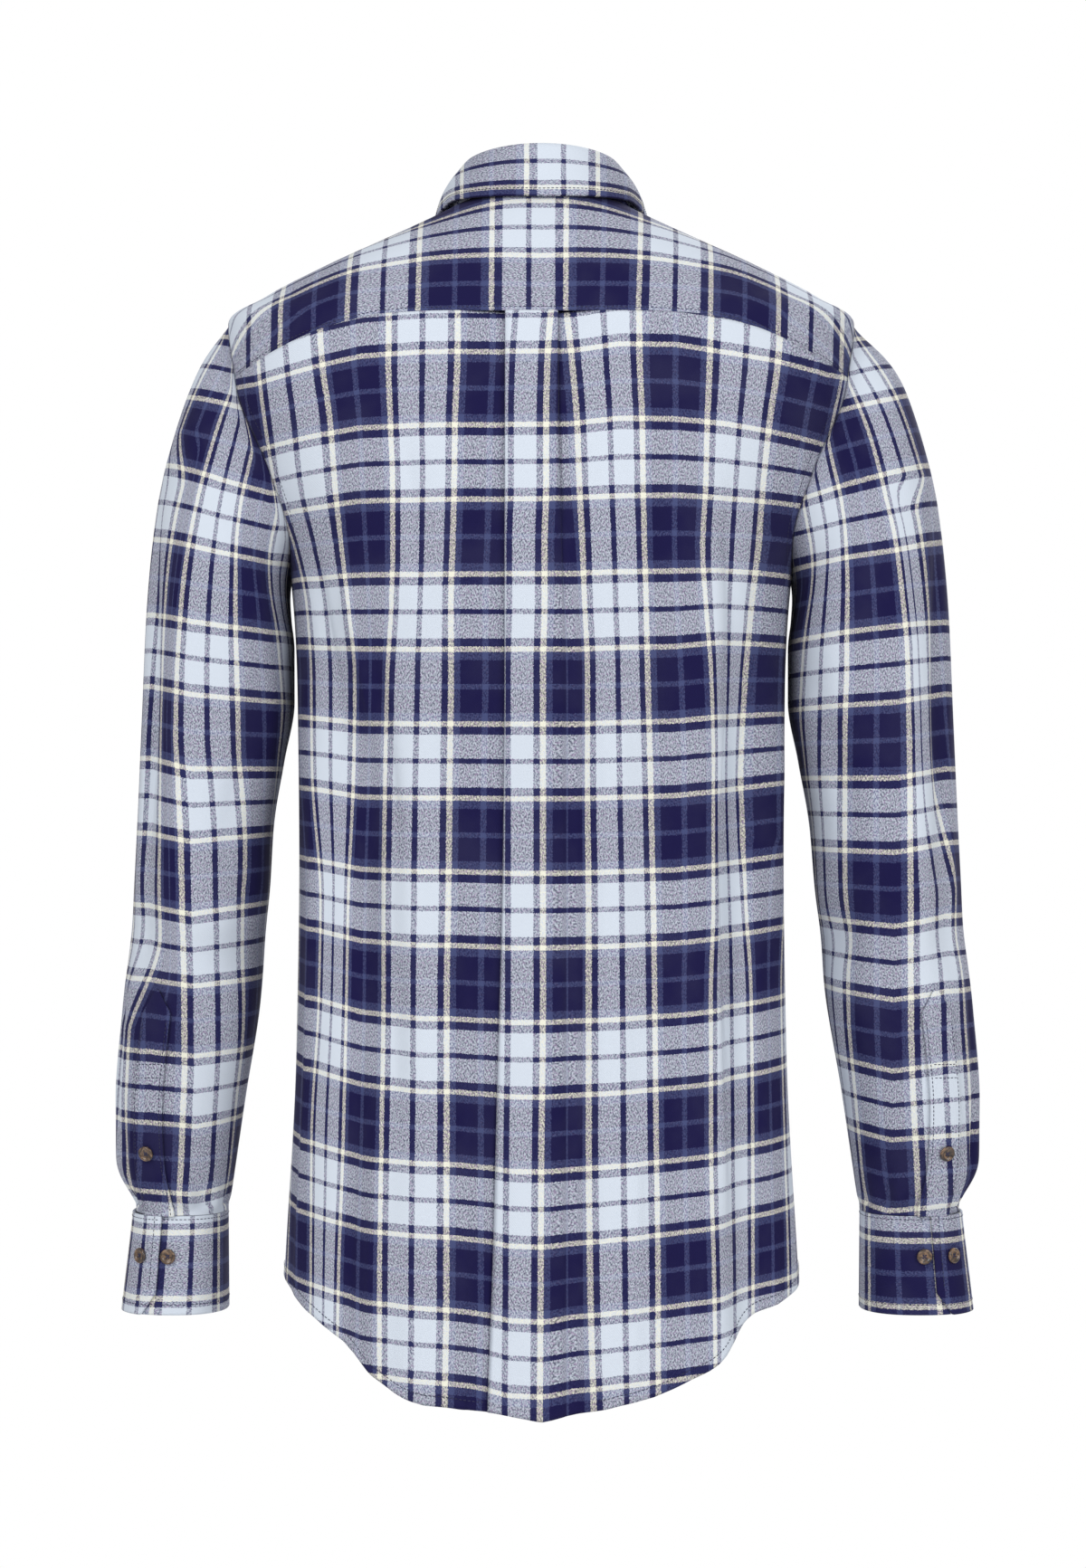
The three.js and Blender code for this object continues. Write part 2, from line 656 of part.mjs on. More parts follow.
function makeYoke() {
  const columns = yokeColumns();
  const places = steps(YOKE_ROWS, 0, 1).map((share) => columns.map((column) => ({
    angle: mix(column.neck, column.angle, share),
    level: column.level * share,
  })));
  const rows = places.map((row) => row.map((spot) => body(spot.angle, spot.level)));
  const normals = places.map((row) => row.map((spot) => bodyNormal(spot.angle, spot.level)));
  const setback = (r, c) => {
    if (r !== YOKE_ROWS || !columns[c].place) return null;
    const way = armholeSetback(columns[c].place, false);
    if (columns[c].mirrored) way.x *= -1;
    return way;
  };
  wall('yoke', rows, { normals, setback, sides: ['top', 'foot', 'start', 'end'] });
}

// The yoke's front seam, from the armhole to the neck.
function yokeFrontSeam() {
  const corner = FRONT_ARC[0];
  return steps(YOKE_ROWS, 1, 0).map((share) => ({
    angle: mix(YOKE_NECK_ANGLE, corner.angle, share),
    level: corner.level * share,
  }));
}

function frontPlaces(across) {
  const seam = yokeFrontSeam();
  const neckEnd = angleAcross(0, across, true);
  const neck = steps(FRONT_COLUMNS, YOKE_NECK_ANGLE, neckEnd).slice(1).map((angle) => ({ angle, level: 0 }));
  const top = [...seam, ...neck];
  const corner = FRONT_ARC[0];
  const upper = FRONT_ARC.map((place) => {
    const share = (place.level - corner.level) / (UNDERARM.level - corner.level);
    return top.map((spot) => {
      const round = (spot.angle - corner.angle) / (neckEnd - corner.angle);
      const level = mix(spot.level, UNDERARM.level, share);
      return { round, level, start: place.angle };
    });
  });
  const lower = LOWER_SHARES.map((share) => top.map((spot, i) => {
    const round = i / (top.length - 1);
    const plain = (spot.angle - corner.angle) / (neckEnd - corner.angle);
    const blend = mix(plain, round, smooth(0, 0.3, share));
    return { round: blend, share, start: Math.PI / 2 };
  }));
  return [...upper, ...lower].map((row) => row.map((spot) => {
    const guessLevel = spot.level ?? mix(UNDERARM.level, hemLevel(degrees(170)), spot.share);
    const end = angleAcross(guessLevel, across, true);
    const angle = mix(spot.start, end, spot.round);
    const level = spot.level ?? mix(UNDERARM.level, hemLevel(angle), spot.share);
    return { angle, level };
  }));
}

function makeFront(name, side, across) {
  const places = frontPlaces(across);
  const rows = places.map((row) => row.map((spot) => body(side * spot.angle, spot.level)));
  const normals = places.map((row) => row.map((spot) => bodyNormal(side * spot.angle, spot.level)));
  const setback = (r, c) => {
    if (c !== 0 || r >= FRONT_ARC.length) return null;
    const way = armholeSetback(FRONT_ARC[r], false);
    if (side < 0) way.x *= -1;
    return way;
  };
  wall(name, rows, { normals, setback, sides: ['top', 'start'] });
}

// A straight band down the centre front, moved out from the body's surface.
function frontBand(name, from, to, lift, topLevel) {
  const edge = frontPlaces(PLACKET_WIDTH / 2);
  const levels = edge.map((row) => row[row.length - 1].level);
  levels[0] = topLevel;
  const lines = steps(2, from, to);
  const rows = levels.map((level) => lines.map((across) => {
    const angle = Math.sign(across || 1) * angleAcross(level, Math.abs(across), true);
    return body(angle, level).addScaledVector(bodyNormal(angle, level), lift);
  }));
  wall(name, rows, { sides: ['top'], look: BAND_FLANNEL });
}

// The sleeves' pieces

function mirrored(p, side) {
  return side > 0 ? p : point(-p.x, p.y, p.z);
}

const SLEEVE_TURNS = [
  ...TOP_ARC.map((place) => place.turn),
  ...BACK_ARC.slice(1).map((place) => place.turn),
  ...FRONT_ARC.slice(1, -1).reverse().map((place) => place.turn),
];

function makeSleeve(name, side, swing) {
  const sections = steps(CUFF_SEAM / SLEEVE_STEP, 0, CUFF_SEAM);
  const rows = sections.map((section) => (
    SLEEVE_TURNS.map((turn) => mirrored(sleeve(turn, section, swing), side))
  ));
  const setback = (r, c) => {
    if (r !== 0) return null;
    const way = armholeSetback(armholePlace(SLEEVE_TURNS[c]), true);
    return mirrored(way, side);
  };
  wall(name, rows, { closed: true, outside: -side, setback, sides: ['top', 'foot'] });
}

function sleeveNormal(turn, section, swing) {
  const surface = (a, b) => sleeve(a, b, swing);
  return normalOf(surface, turn, section, 0.02, 0.05).negate();
}

function makeSleevePlacket(name, side, swing) {
  const rowsBelow = (CUFF_SEAM - SLEEVE_PLACKET_SHOULDER) / SLEEVE_STEP;
  const whole = steps(rowsBelow, SLEEVE_PLACKET_SHOULDER, CUFF_SEAM);
  const sections = [SLEEVE_PLACKET_TOP, ...whole];
  const half = SLEEVE_PLACKET_WIDTH / 2;
  const rows = sections.map((section, i) => {
    const reach = sleeve(SLEEVE_PLACKET_ANGLE + 0.1, section).distanceTo(
      sleeve(SLEEVE_PLACKET_ANGLE - 0.1, section),
    ) / 0.2;
    const spread = i === 0 ? 0.12 : 1;
    return [-half, 0, half].map((across) => {
      const turn = SLEEVE_PLACKET_ANGLE + (across * spread) / reach;
      const out = sleeveNormal(turn, section, swing);
      return mirrored(sleeve(turn, section, swing).addScaledVector(out, PLACKET_RISE), side);
    });
  });
  wall(name, rows, { outside: -side, sides: ['foot'], look: BAND_FLANNEL });
}

// The cuff is one strip that laps over itself: its end lies on top, its start beneath.
function cuffPoint(turn, section, swing) {
  const start = CUFF_OVERLAP_ANGLE - CUFF_LAP;
  const rise = smooth(start + CUFF_RISE_START, start + CUFF_RISE_END, turn);
  const out = sleeveNormal(turn, CUFF_SEAM + 0.5, swing);
  out.z = 0;
  return sleeve(turn, section, swing).addScaledVector(out.normalize(), rise * (DOUBLED + LIFT));
}

function makeCuff(name, side, swing) {
  const start = CUFF_OVERLAP_ANGLE - CUFF_LAP;
  const end = FULL_TURN + CUFF_OVERLAP_ANGLE;
  const heights = [0.02, 0.34, 0.8, 1];
  const rows = heights.map((height) => {
    const last = height === 1 ? end - CUFF_CORNER_CUT : end;
    return steps(CUFF_COLUMNS, start, last).map((turn) => (
      mirrored(cuffPoint(turn, CUFF_SEAM + height, swing), side)
    ));
  });
  wall(name, rows, { thickness: DOUBLED, outside: -side, look: BAND_FLANNEL });
}

// The collar

function standLap(angle) {
  return (DOUBLED + LIFT) * smooth(degrees(140), degrees(162), angle);
}

function standPoint(angle, share) {
  const foot = ringPoint(ringAt(0), angle, standLap(angle));
  const top = ringPoint(STAND_TOP, angle, standLap(angle));
  foot.z += 3 * SEAM_GAP;
  return foot.lerp(top, share);
}

function makeStand() {
  const rows = steps(2, 1, 0).map((share) => {
    const end = STAND_END_ANGLE - degrees(6) * share;
    return steps(NECK_COLUMNS, -end, end).map((angle) => standPoint(angle, share));
  });
  wall('collar_stand', rows, { thickness: DOUBLED, look: BAND_FLANNEL });
}

function makeLeaf() {
  const shares = steps(NECK_COLUMNS, -1, 1);
  const out = (angle) => point(Math.sin(angle), Math.cos(angle), 0);
  const roll = LEAF_ROLL.map((line) => shares.map((share) => {
    const angle = LEAF_END_ANGLE * share;
    return standPoint(angle, 1).addScaledVector(out(angle), line.out).add(point(0, 0, line.up));
  }));
  const edge = shares.map((share) => {
    const angle = LEAF_POINT_ANGLE * share;
    const level = lookUp(LEAF_EDGE, 'share', Math.abs(share), 'level');
    return body(angle, level).addScaledVector(bodyNormal(angle, level), LEAF_LIFT);
  });
  const brow = roll[roll.length - 1];
  const fall = steps(LEAF_FALL_ROWS, 0, 1).slice(1).map((down) => shares.map((share, c) => {
    const way = point(edge[c].x, edge[c].y, 0).normalize();
    const belly = Math.sin(Math.PI * down) * lookUp(LEAF_BELLY, 'share', Math.abs(share), 'belly');
    return brow[c].clone().lerp(edge[c], down).addScaledVector(way, belly).add(point(0, 0, belly / 2));
  }));
  wall('collar_leaf', [...roll, ...fall], { thickness: DOUBLED, look: BAND_FLANNEL });
}

// Buttons

function buttonGeometry() {
  const rim = BUTTON_THICKNESS;
  const profile = [
    [0, 0], [BUTTON_RADIUS - 0.5, 0], [BUTTON_RADIUS, rim / 2], [BUTTON_RADIUS - 0.7, rim], [0, rim],
  ];
  const geometry = new THREE.LatheGeometry(profile.map(([r, h]) => new THREE.Vector2(r, h)), BUTTON_SIDES);
  geometry.rotateX(Math.PI / 2);
  return geometry;
}

function addButton(name, seat, normal) {
  const button = addMesh(name, buttonGeometry(), HORN);
  button.position.copy(seat).addScaledVector(normal, SEAM_GAP + 0.1);
  button.quaternion.setFromUnitVectors(point(0, 0, 1), normal);
}

function makeFrontButtons() {
  const lift = CLOTH + LIFT;
  const stand = standPoint(Math.PI, 0.45);
  addButton('button_stand', stand, point(0, -1, STAND_LEAN).normalize());
  for (let i = 0; i < FRONT_BUTTONS; i += 1) {
    const height = RINGS[0].zFront - FIRST_BUTTON_DROP - i * BUTTON_SPACING;
    const level = levelAt(Math.PI, height);
    const normal = bodyNormal(Math.PI, level);
    const seat = body(Math.PI, level).addScaledVector(normal, lift);
    addButton(`button_front_${i + 1}`, seat, normal);
  }
}

function makeSleeveButtons(side, label, swing) {
  const place = (turn, height) => {
    const normal = sleeveNormal(turn, CUFF_SEAM + 0.5, swing);
    const seat = cuffPoint(turn, CUFF_SEAM + height, swing);
    return { seat: mirrored(seat, side), normal: mirrored(normal, side) };
  };
  const onLap = place(FULL_TURN + CUFF_OVERLAP_ANGLE + CUFF_BUTTON_TURNS[0], 0.5);
  addButton(`button_cuff_${label}_1`, onLap.seat, onLap.normal);
  const beside = place(CUFF_OVERLAP_ANGLE + CUFF_BUTTON_TURNS[1], 0.5);
  addButton(`button_cuff_${label}_2`, beside.seat, beside.normal);
  const section = SLEEVE_PLACKET_BUTTON;
  const normal = sleeveNormal(SLEEVE_PLACKET_ANGLE, section, swing);
  const seat = sleeve(SLEEVE_PLACKET_ANGLE, section, swing).addScaledVector(normal, PLACKET_RISE);
  addButton(`button_sleeve_${label}`, mirrored(seat, side), mirrored(normal, side));
}

// The shirt

makeYoke();
makeBack();
makeFront('front_left', 1, PLACKET_WIDTH / 2 - PLACKET_UNDERLAP);
makeFront('front_right', -1, PLACKET_WIDTH / 2 + SEAM_GAP);
frontBand('placket', PLACKET_WIDTH / 2, -PLACKET_WIDTH / 2, CLOTH + LIFT, PLACKET_TOP_LEVEL);
frontBand('button_band', PLACKET_WIDTH / 2 - PLACKET_UNDERLAP - SEAM_GAP, -PLACKET_WIDTH / 2, 0, 0);
makeStand();
makeLeaf();
for (const [label, side, swing] of [['left', 1, 0], ['right', -1, RIGHT_SLEEVE_SWING]]) {
  makeSleeve(`sleeve_${label}`, side, swing);
  makeSleevePlacket(`sleeve_placket_${label}`, side, swing);
  makeCuff(`cuff_${label}`, side, swing);
  makeSleeveButtons(side, label, swing);
}
makeFrontButtons();

export default shirt;
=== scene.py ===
# %% [markdown]
# # A plaid flannel shirt, filled out as if worn
# The shirt is sewn from flat pieces of brushed cotton: a yoke over the shoulders, a back
# with a box pleat, two fronts, two sleeves, cuffs and a collar. This lesson rebuilds each
# cut piece as its own object, so that the plaid can run along the grain of each piece
# as it does on a real shirt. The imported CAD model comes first, as a fixed frame.

# %% Load the frame
import math

import bmesh
import bpy
import numpy as np
from mathutils import Matrix, Vector


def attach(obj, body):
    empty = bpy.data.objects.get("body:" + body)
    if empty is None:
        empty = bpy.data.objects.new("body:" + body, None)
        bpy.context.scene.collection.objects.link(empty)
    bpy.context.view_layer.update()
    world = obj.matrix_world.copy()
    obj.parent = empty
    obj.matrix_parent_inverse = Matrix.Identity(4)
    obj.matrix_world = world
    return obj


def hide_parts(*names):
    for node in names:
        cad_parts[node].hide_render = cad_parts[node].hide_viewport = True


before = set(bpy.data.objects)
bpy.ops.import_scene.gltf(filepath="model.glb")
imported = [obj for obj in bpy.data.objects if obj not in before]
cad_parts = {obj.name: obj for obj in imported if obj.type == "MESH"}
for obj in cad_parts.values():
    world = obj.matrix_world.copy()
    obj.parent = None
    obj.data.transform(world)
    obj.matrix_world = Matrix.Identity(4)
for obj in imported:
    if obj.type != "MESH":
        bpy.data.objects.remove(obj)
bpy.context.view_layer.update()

MM = 0.001


def put(name, data):
    """A new object in the scene that holds some data."""
    made = bpy.data.objects.new(name, data)
    bpy.context.collection.objects.link(made)
    return made


# %% [markdown]
# ## The camera
# The shirt is seen from straight behind, at the height of its waist. The camera is made
# before the pieces, with the photograph's framing.

# %% Camera
CAMERA_AWAY = 2.4
HALF_PICTURE = 0.52
SENSOR = 36.0

camera_data = bpy.data.cameras.new("camera")
camera_data.sensor_width = SENSOR
camera_data.lens = SENSOR / 2 * CAMERA_AWAY / HALF_PICTURE
camera = put("camera", camera_data)
camera.location = (-0.0012, CAMERA_AWAY, -0.38)
camera.rotation_euler = (math.radians(90), 0, math.radians(180))
bpy.context.scene.camera = camera
print("lens in mm:", round(camera_data.lens, 1))

# %% [markdown]
# ## The measures of the cloth
# These are the tailor's numbers that the CAD model was cut from, in millimetres: how
# thick the cloth is, and the rings that give the body its shape from the neck down.
# The scene repeats them because every fine piece lies on the same form as its solid.

# %% Cloth and body measures
CLOTH = 1.4
DOUBLED = 2.0
LIFT = 0.6
SEAM_GAP = 0.3
PLACKET_WIDTH = 32
PLACKET_UNDERLAP = 3
PLACKET_TOP_LEVEL = 0.14


def table(columns, rows):
    return [dict(zip(columns, row)) for row in rows]


RINGS = table(["side", "back", "front", "fullness", "z_back", "z_side", "z_front"], [
    [58.5, 60, 72, 2.15, 4, 0, -75],            # neck seam
    [89, 74, 88, 2.2, -18, -14, -90],         # neck slope
    [146, 87, 104, 2.25, -42, -40, -108],     # shoulder
    [184, 97, 116, 2.3, -62, -60, -127],      # shoulder end
    [207, 104, 124, 2.35, -80, -77, -146],    # armhole top
    [207, 116, 132, 2.4, -128, -124, -172],   # blade
    [190, 123, 137, 2.4, -180, -178, -204],   # chest
    [166, 125, 138, 2.4, -240, -240, -242],   # armpit
    [161, 119, 134, 2.4, -320, -320, -320],   # rib
    [160, 109, 125, 2.35, -430, -430, -430],  # waist
    [162, 110, 123, 2.35, -560, -560, -560],  # hip
    [169, 115, 124, 2.35, -690, -690, -690],  # seat
    [175, 117, 124, 2.35, -800, -800, -800],  # lowest hem
])
HEM_HEIGHTS = table(["angle", "height"], [
    [0, -783], [20, -775], [33, -768], [39, -762], [46, -752], [52, -739], [62, -720],
    [76, -707], [90, -702], [102, -708], [116, -724], [132, -741], [150, -752], [180, -757],
])
YOKE_SEAM = table(["across", "height"], [
    [0, -79], [60, -79], [97, -80], [139, -88], [167, -99], [200, -115], [230, -127],
])
ARMHOLE_TOP = -77
ARMHOLE_BOTTOM = -242
ARMHOLE_HALF_DEPTH = 59
ARMHOLE_DROP = 0.3
YOKE_BACK_HEIGHT = -115
YOKE_FRONT_TURN = math.radians(-45)
YOKE_NECK_ANGLE = math.radians(117)
LAST_RING = len(RINGS) - 1

# %% [markdown]
# ## Smooth lines through short tables
# A tailor draws a smooth curve through a few measured points. `curve` does the same for
# a column of a table, and works on many points at once with NumPy, which keeps a fine
# piece quick to make.


# %% Helpers for tables
def curve(rows, column, place):
    value = np.array([row[column] for row in rows], float)
    rise = np.diff(value)
    slope = np.concatenate([rise[:1], np.zeros(len(rise) - 1), rise[-1:]])
    product = rise[:-1] * rise[1:]
    turning = np.where(product > 0, rise[:-1] + rise[1:], 1.0)
    slope[1:-1] = np.where(product > 0, 2 * product / turning, 0.0)
    start = np.clip(np.floor(place).astype(int), 0, len(rise) - 1)
    part = place - start
    whole = rise[start]
    square = 3 * whole - 2 * slope[start] - slope[start + 1]
    cube = slope[start] + slope[start + 1] - 2 * whole
    return value[start] + part * (slope[start] + part * (square + part * cube))


def look_up(rows, key, value, column):
    keys = np.array([row[key] for row in rows], float)
    numbers = np.arange(len(rows))
    if keys[0] > keys[-1]:
        keys, numbers = keys[::-1], numbers[::-1]
    return curve(rows, column, np.interp(value, keys, numbers))


def smooth(low, high, value):
    share = np.clip((value - low) / (high - low), 0, 1)
    return share * share * (3 - 2 * share)


def mix(a, b, share):
    return a + (b - a) * share


def bell(away):
    return np.exp(-away * away)


def unit(vectors):
    return vectors / np.linalg.norm(vectors, axis=-1, keepdims=True)


def lengths_along(places, axis=0):
    """Length of a line up to each of its places, from 0 at its start."""
    steps = np.linalg.norm(np.diff(places, axis=axis), axis=-1)
    start = np.zeros_like(np.take(steps, [0], axis=axis))
    return np.concatenate([start, np.cumsum(steps, axis=axis)], axis=axis)


# %% [markdown]
# ## The body's form
# The torso is a stack of rounded rings. A point on it is named by its angle round the
# body, from the centre back, and its level down the rings. Wide soft folds stand in or
# out of it: they are the same ones as in the solids.

# %% The body's surface
BODY_FOLDS = [  # angle at its top and foot, height of its top and foot, width, depth
    (56, 48, -290, -520, 19, -7), (70, 62, -320, -760, 20, 6), (40, 36, -380, -770, 19, 5),
    (-46, -48, -240, -780, 18, 7), (-57, -60, -300, -740, 18, -6),
    (-72, -72, -330, -760, 20, 5), (132, 128, -290, -730, 20, 6),
    (146, 142, -300, -700, 19, -5), (-126, -124, -280, -730, 20, 6),
    (-142, -141, -320, -690, 19, -5),
]
MM_PER_DEGREE = 2.6

# %% [markdown]
# ## Finer creases
# The solids carry the wide folds only. The creases that the eye looks for are narrower:
# soft troughs and ridges that start at the blades, pass the waist and fade towards the
# hem, no two alike. Each is a line in this table, with the same columns as the wide ones.

# %% Fine creases of the body
FINE_FOLDS = [
    (63, 60, -235, -345, 7, -3.2), (54, 51, -240, -330, 6, 2.4), (47, 44, -300, -420, 8, -2.6),
    (48, 47, -400, -760, 9, 3.0), (55, 55, -420, -740, 7, -3.0), (66, 70, -380, -700, 8, 2.2),
    (31, 29, -330, -620, 12, -1.8), (22, 23, -420, -775, 11, 2.4), (13, 14, -560, -775, 9, -2.4),
    (-24, -26, -330, -700, 12, 1.8), (-36, -35, -260, -560, 12, -1.6),
    (-50, -53, -190, -330, 7, -2.8), (-56, -59, -330, -560, 6, -3.4), (-51, -52, -340, -640, 6, 2.4),
    (-64, -66, -420, -740, 8, 2.6), (-29, -27, -600, -770, 10, 2.0), (-41, -42, -560, -760, 9, -2.0),
    (100, 103, -300, -660, 10, -2.8), (112, 110, -330, -700, 9, 2.6), (124, 126, -250, -520, 10, -2.4),
    (151, 153, -240, -640, 9, 2.2), (160, 158, -420, -740, 8, -1.8), (138, 137, -500, -740, 8, 2.2),
    (-98, -100, -290, -620, 10, -2.6), (-109, -108, -380, -700, 9, 2.6),
    (-121, -119, -260, -480, 9, -2.4), (-148, -151, -260, -600, 9, 2.2),
    (-160, -161, -460, -740, 8, -1.8), (-135, -134, -480, -730, 9, 2.0),
    (38, 33, -150, -250, 11, -1.8), (-37, -33, -150, -260, 11, -1.6),
]
FOLD_SHARPNESS = 0.35


def rounded(angle, side, back, front, fullness):
    """Radius of a rounded ring at an angle, from its half width and its two depths."""
    depth = np.where(np.cos(angle) > 0, back, front)
    across = np.abs(np.sin(angle) / side) ** fullness
    return (across + np.abs(np.cos(angle) / depth) ** fullness) ** (-1 / fullness)


def tilted(angle, side, back, front):
    """Height of a ring at an angle, from its heights at the side, back and front."""
    return mix(side, np.where(np.cos(angle) > 0, back, front), np.cos(angle) ** 2)


def round_point(angle, radius, z):
    return np.stack([radius * np.sin(angle), radius * np.cos(angle), z], axis=-1)


def ring(level, *columns):
    return [curve(RINGS, column, level) for column in columns]


def ring_radius(level, angle):
    return rounded(angle, *ring(level, "side", "back", "front", "fullness"))


def ring_height(level, angle):
    return tilted(angle, *ring(level, "z_side", "z_back", "z_front"))


FADES = [  # folds, spare length, sharpness, how they begin and end past their top and foot
    (BODY_FOLDS, 0.5, 0, (30, -50), (-120, 0)),
    (FINE_FOLDS, 0.3, FOLD_SHARPNESS, (25, -40), (-40, 40)),
]


def body_fold(angle, z):
    turn = np.degrees(angle)
    total = np.zeros_like(z)
    for folds, spare, sharpness, begin, end in FADES:
        for top_angle, foot_angle, top, foot, width, depth in folds:
            down = np.clip((z - top) / (foot - top), -spare, 1 + spare)
            away = (turn - mix(top_angle, foot_angle, down)) * MM_PER_DEGREE / width
            fade = smooth(top + begin[0], top + begin[1], z)
            fade = fade * smooth(foot + end[0], foot + end[1], z)
            total += depth * fade * bell(away) * (1 + sharpness * bell(2 * away))
    return total


def body(angle, level):
    angle, level = np.broadcast_arrays(np.asarray(angle, float), np.asarray(level, float))
    z = ring_height(level, angle)
    radius = ring_radius(level, angle) + np.where(level > 5, body_fold(angle, z), 0)
    return round_point(angle, radius, z)


def body_normal(angle, level, step=0.01, drop=0.05):
    round_way = body(angle + step, level) - body(angle - step, level)
    down_way = body(angle, level + drop) - body(angle, level - drop)
    return unit(np.cross(round_way, down_way))


def level_at(angle, z):
    low = np.zeros(np.broadcast(angle, z).shape)
    high = low + LAST_RING
    for _ in range(24):
        middle = (low + high) / 2
        above = ring_height(middle, angle) > z
        low, high = np.where(above, middle, low), np.where(above, high, middle)
    return low


def angle_across(level, across, at_front=False):
    turn = np.zeros(np.broadcast(level, across).shape)
    for _ in range(8):
        angle = np.pi - turn if at_front else turn
        turn = np.arcsin(across / ring_radius(level, angle))
    return np.pi - turn if at_front else turn


LEFT_HEM_DROP = 6     # mm, the tail hangs lower on the wearer's left


def hem_height(angle):
    turn = np.degrees(angle)
    height = look_up(HEM_HEIGHTS, "angle", np.minimum(np.abs(turn), 180), "height")
    return height - LEFT_HEM_DROP * bell((turn - 41) / 17)


def hem_level(angle):
    return level_at(angle, hem_height(angle))


def solved_armhole(turn):
    swing = turn - ARMHOLE_DROP * np.sin(turn)
    y = ARMHOLE_HALF_DEPTH * np.sin(swing)
    z = mix(ARMHOLE_BOTTOM, ARMHOLE_TOP, (1 + np.cos(turn)) / 2)
    angle = np.full(turn.shape, np.pi / 2)
    for _ in range(60):
        level = level_at(angle, z)
        aim = np.arccos(np.clip(y / ring_radius(level, angle), -1, 1))
        angle = angle + 0.8 * (aim - angle)
    return angle, level


armhole_turns = np.linspace(-1.0, 7.4, 1400)
armhole_solution = solved_armhole(armhole_turns)


def armhole_place(turn):
    """Angle and level of the armhole seam at a turn round it, from a table solved once."""
    return tuple(np.interp(turn, armhole_turns, part) for part in armhole_solution)


YOKE_BACK_TURN = math.acos(
    2 * (YOKE_BACK_HEIGHT - ARMHOLE_BOTTOM) / (ARMHOLE_TOP - ARMHOLE_BOTTOM) - 1
)
underarm_level = armhole_place(np.array([np.pi]))[1][0]
corner_angle, corner_level = (float(v[0]) for v in armhole_place(np.array([YOKE_BACK_TURN])))


def drawn_yoke_level(angle):
    level = np.full(np.shape(angle), 4.0)
    for _ in range(12):
        across = np.abs(ring_radius(level, angle) * np.sin(angle))
        level = level_at(angle, look_up(YOKE_SEAM, "across", across, "height"))
    return level


corner_miss = corner_level - float(drawn_yoke_level(np.array([corner_angle]))[0])


def yoke_level(angle):
    return drawn_yoke_level(angle) + corner_miss * (angle / corner_angle) ** 4


print("underarm at level", round(float(underarm_level), 2))

# %% [markdown]
# ## One grid per cut piece
# A cut piece of cloth is a sheet, so it starts as `create_grid`. Each point of the grid
# carries two shares, one across the piece and one down it, and is then moved to where
# that place of the cloth lies on the body. The grain goes into the UV map as metres of
# warp and weft, so that the plaid follows the cloth. Solidify gives it its thickness.

# %% Make a cloth piece
WARP_HALF = 44.4
WEFT_HALF = 47.0
sheet_area = {}


def finish_piece(name, bm, nodes, material=None):
    mesh = bpy.data.meshes.new(name)
    bm.to_mesh(mesh)
    bm.free()
    piece = put(name, mesh)
    mesh.polygons.foreach_set("use_smooth", np.ones(len(mesh.polygons), bool))
    if material:
        mesh.materials.append(material)
    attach(piece, "root")
    if nodes:
        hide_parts(*nodes)
    return piece


def cloth_piece(name, columns, rows, form, nodes, thickness=CLOTH, closed=False, flip=False):
    bm = bmesh.new()
    bmesh.ops.create_grid(bm, x_segments=columns, y_segments=rows, size=0.5)
    shares = np.array([vert.co[:2] for vert in bm.verts]) + 0.5
    across, down = shares[:, 0], 1 - shares[:, 1]
    places, grain = form(across, down)
    for vert, place in zip(bm.verts, places * MM):
        vert.co = place
    layer = bm.loops.layers.uv.new("grain")
    grain = grain * np.array([WARP_HALF, WEFT_HALF]) * MM
    for face in bm.faces:
        for loop in face.loops:
            loop[layer].uv = grain[loop.vert.index]
    if closed:
        bmesh.ops.remove_doubles(bm, verts=bm.verts, dist=0.02 * MM)
    if flip:
        bmesh.ops.reverse_faces(bm, faces=bm.faces)
    sheet_area[name] = sum(face.calc_area() for face in bm.faces)
    piece = finish_piece(name, bm, nodes)
    wall = piece.modifiers.new("thickness", "SOLIDIFY")
    wall.thickness = thickness * MM
    wall.offset = -1
    wall.use_even_offset = False
    print(name, len(piece.data.polygons), "faces,", round(sheet_area[name], 3), "square metres")
    return piece


# %% [markdown]
# ## Counting the stripes
# Every piece of plaid is numbered by its cream threads: number 0, 1, 2 and so on, half a
# repeat apart. A navy block follows each even cream thread and a light block each odd
# one. Short tables give where the threads lie on the worn shirt, and `stripe_number`
# counts between them, so the pattern bends with the cloth.

# %% Helpers for the stripes
FIRST_WEFT_HEIGHT = -106
WEFT_ON_BACK = 47.2


def stripe_number(value, lines, first, spacing):
    """Number at a value, from the rising values of lines that are numbered from first on."""
    lines = [np.broadcast_to(np.asarray(line, float), np.shape(value)) for line in lines]
    number = first + np.minimum(value - lines[0], 0) / spacing
    for low, high in zip(lines, lines[1:]):
        number = number + np.clip((value - low) / (high - low), 0, 1)
    return number + np.maximum(value - lines[-1], 0) / spacing


def between_columns(value, stations, amounts):
    """Amount at a value, from amounts that are known at a row of rising stations."""
    total = amounts[0] + 0 * value
    for low, high, start, end in zip(stations, stations[1:], amounts, amounts[1:]):
        total = total + np.clip((value - low) / (high - low), 0, 1) * (end - start)
    return total


# %% [markdown]
# ## The back and its box pleat
# Below the yoke the back hangs from a box pleat: the cloth is folded behind itself on
# both sides of a narrow face. Pressed shut at the seam, the right side opens into a soft
# valley lower down. The pleat is drawn as a path in cross-section, shut and open, and
# each height of the back mixes the two.

